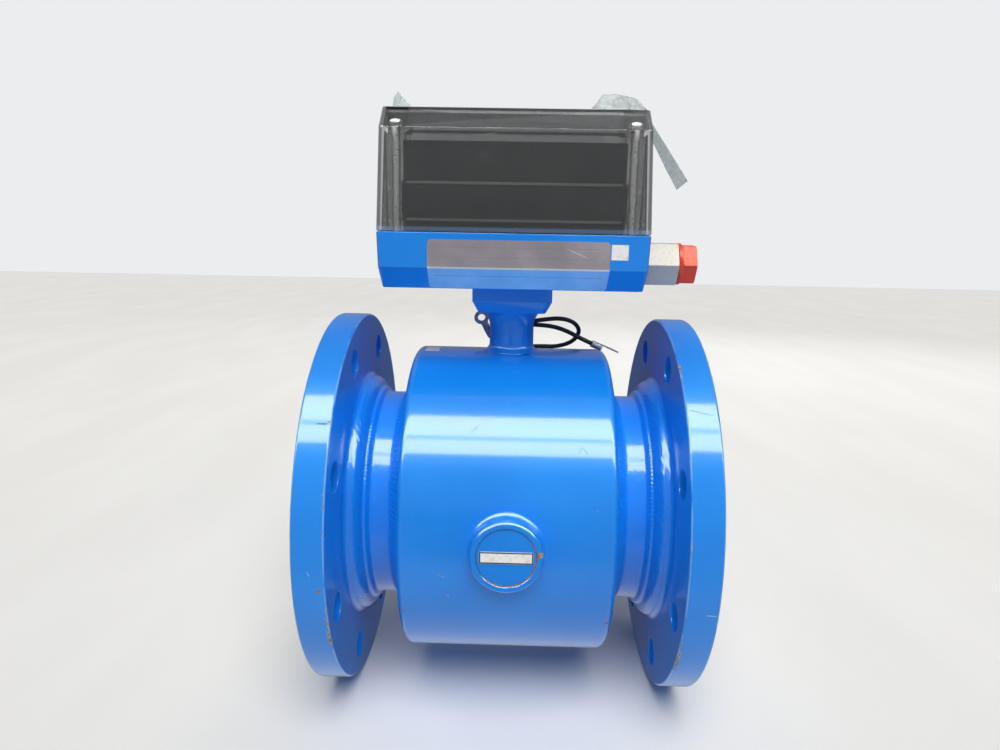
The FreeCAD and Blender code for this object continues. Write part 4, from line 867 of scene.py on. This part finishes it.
def tape_sheet(name, node, low_edge, high_edge, seed, wave):
    """A thin sheet ruled between two edges in millimetres, and pushed off its plane by
    soft creases: each adds its own share of the distance from a straight line."""
    low, high = even_run(low_edge, FILM_GRID[1]), even_run(high_edge, FILM_GRID[1])
    u = np.linspace(0, 1, FILM_GRID[1])[None, :]
    v = np.linspace(0, 1, FILM_GRID[0])[:, None]
    off_plane = np.cross(low[-1] - low[0], high[0] - low[0])
    off_plane /= np.linalg.norm(off_plane)
    random = np.random.default_rng(seed)
    crease = np.zeros(FILM_GRID)
    for _ in range(FILM_CREASES):
        lean = random.uniform(-1, 1)
        where = random.uniform(0, 1)
        crease += random.uniform(-1, 1)*np.abs(u + lean*v - where)
    crease -= crease.mean()
    ruled = low*(1 - v[..., None]) + high*v[..., None]
    sheet = ruled + (crease*wave)[..., None]*off_plane
    made = surface(name, sheet/1000, finish=film, body="cover")
    wall = made.modifiers.new("film", "SOLIDIFY")
    wall.thickness = FILM_THICKNESS
    wall.offset = 0
    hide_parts(node)


tape_sheet("tape_left", "tape_flap_left",
           [(-73.7, -42.3, 253.9), (-62.8, -42.3, 253.9)],
           [(-73.0, -40.6, 259.2), (-70.9, -39.2, 262.6), (-69.2, -39.4, 260.4),
            (-66.0, -40.8, 257.4)], 3, 0.35)
tape_sheet("tape_right", "tape_flap_right",
           [(45.0, -42.3, 253.9), (62.0, -42.2, 253.9), (77.9, -42.3, 253.9)],
           [(51.8, -35.5, 262.6), (60.0, -35.2, 263.3), (72.0, -35.4, 261.4)], 4, 0.9)
tape_sheet("tape_hanging", "tape_tail",
           [(80.6, -42.3, 246.8), (91.0, -42.4, 232.2), (104.3, -42.3, 213.2)],
           [(80.6, -42.2, 238.3), (90.4, -42.0, 220.6), (98.0, -42.2, 207.9)], 6, 0.3)

# The conduit adapter and its plug: a hexagon turned from plated bar, sealed on the base's
# pad, and a red moulded protector pushed into its thread.
ADAPTER_AXIS = (0.0, 0.163)
ADAPTER_THREAD_ENDS = (0.0862, 0.1076)
ADAPTER_BORE = 0.00988
ADAPTER_THREAD = -0.00024
ADAPTER_PITCH = 0.0015
plated = Finish("plated hexagon", (0.48, 0.475, 0.455), 0.5, Metallic=0.1,
                Specular_IOR_Level=0.32)
drawn = plated.noise(70.0, 4.0, plated.stretched((2.0, 40.0, 40.0)), 0.6)
pits = plated.noise(900.0, 4.0)
plated.feed("Base Color", plated.mix(pits.step(0.55, 0.75), (0.50, 0.49, 0.465),
                                     (0.31, 0.30, 0.285)))
plated.feed("Roughness", 0.46 + drawn*0.14)
plated.bump(drawn, 0.00003)
softened("conduit_adapter", "hexagon_adapter", plated, "meter", 0.0003)
paint_on(plated, "lock_nut")
thread_skin("adapter_thread", ADAPTER_THREAD_ENDS, ADAPTER_AXIS, ADAPTER_BORE, ADAPTER_THREAD,
            ADAPTER_PITCH, plated, "meter")
protector = Finish("red protector plug", (0.74, 0.040, 0.018), 0.36, Coat_Weight=0.12,
                   Coat_Roughness=0.15, Specular_IOR_Level=0.35, Subsurface_Weight=0.2,
                   Subsurface_Scale=0.003)
handled = protector.noise(350.0, 4.0)
protector.feed("Base Color", protector.mix(handled.step(0.4, 0.75), (0.70, 0.044, 0.018),
                                           (0.62, 0.08, 0.045)))
protector.feed("Roughness", 0.30 + handled*0.22)
protector.bump(handled, 0.00004)
softened("thread_plug", "protector_plug", protector, "plug", 0.0003)

# The pipe lining: a white fluoroplastic sleeve, turned out and faced over both flanges.
# Its bore is smooth, and the faces show the tool's fine rings.
RING_RATE = 9000.0
lining = Finish("white pipe lining", (0.80, 0.80, 0.775), 0.38, Subsurface_Weight=0.2,
                Subsurface_Scale=0.006)
_, lining_y, lining_z = lining.axes(lining.place())
rings = (lining_y*lining_y + lining_z*lining_z)**0.5*RING_RATE
rings = lining.node("Math", {"operation": "SINE"}, {0: rings})
lining.bump(rings*0.5 + 0.5, 0.00002)
lining.feed("Base Color", lining.mix(lining.noise(30.0, 5.0).step(0.5, 0.8),
                                     (0.81, 0.81, 0.79), (0.68, 0.67, 0.62)))
paint_on(lining, "liner")

# Inside the housing, never seen: steel electrodes in plastic bushes, two copper coils,
# and the iron shoes and band that carry the field.
turned = Finish("turned stainless steel", (0.52, 0.52, 0.53), 0.25, Metallic=1.0)
turned.bump(turned.noise(500.0, 2.0), 0.00003)
paint_on(turned, "electrode_front", "electrode_rear", "electrode_nut_front",
         "electrode_nut_rear")
bush = Finish("cream bush plastic", (0.66, 0.62, 0.52), 0.5)
bush.bump(bush.noise(400.0, 2.0), 0.00004)
paint_on(bush, "electrode_bush_front", "electrode_bush_rear")
winding = Finish("varnished copper winding", (0.42, 0.15, 0.05), 0.35, Metallic=0.7)
wires = winding.node("TexWave", {"bands_direction": "X"}, {"Scale": 380.0, "Distortion": 0.6})
winding.bump(wires, 0.0003)
paint_on(winding, "coil_upper", "coil_lower")
iron = Finish("rolled magnet iron", (0.20, 0.20, 0.21), 0.45, Metallic=0.8)
scale_skin = iron.noise(120.0, 5.0)
iron.feed("Roughness", 0.35 + scale_skin*0.3)
iron.bump(scale_skin, 0.0001)
paint_on(iron, "pole_shoe_upper", "pole_shoe_lower", "yoke_band")
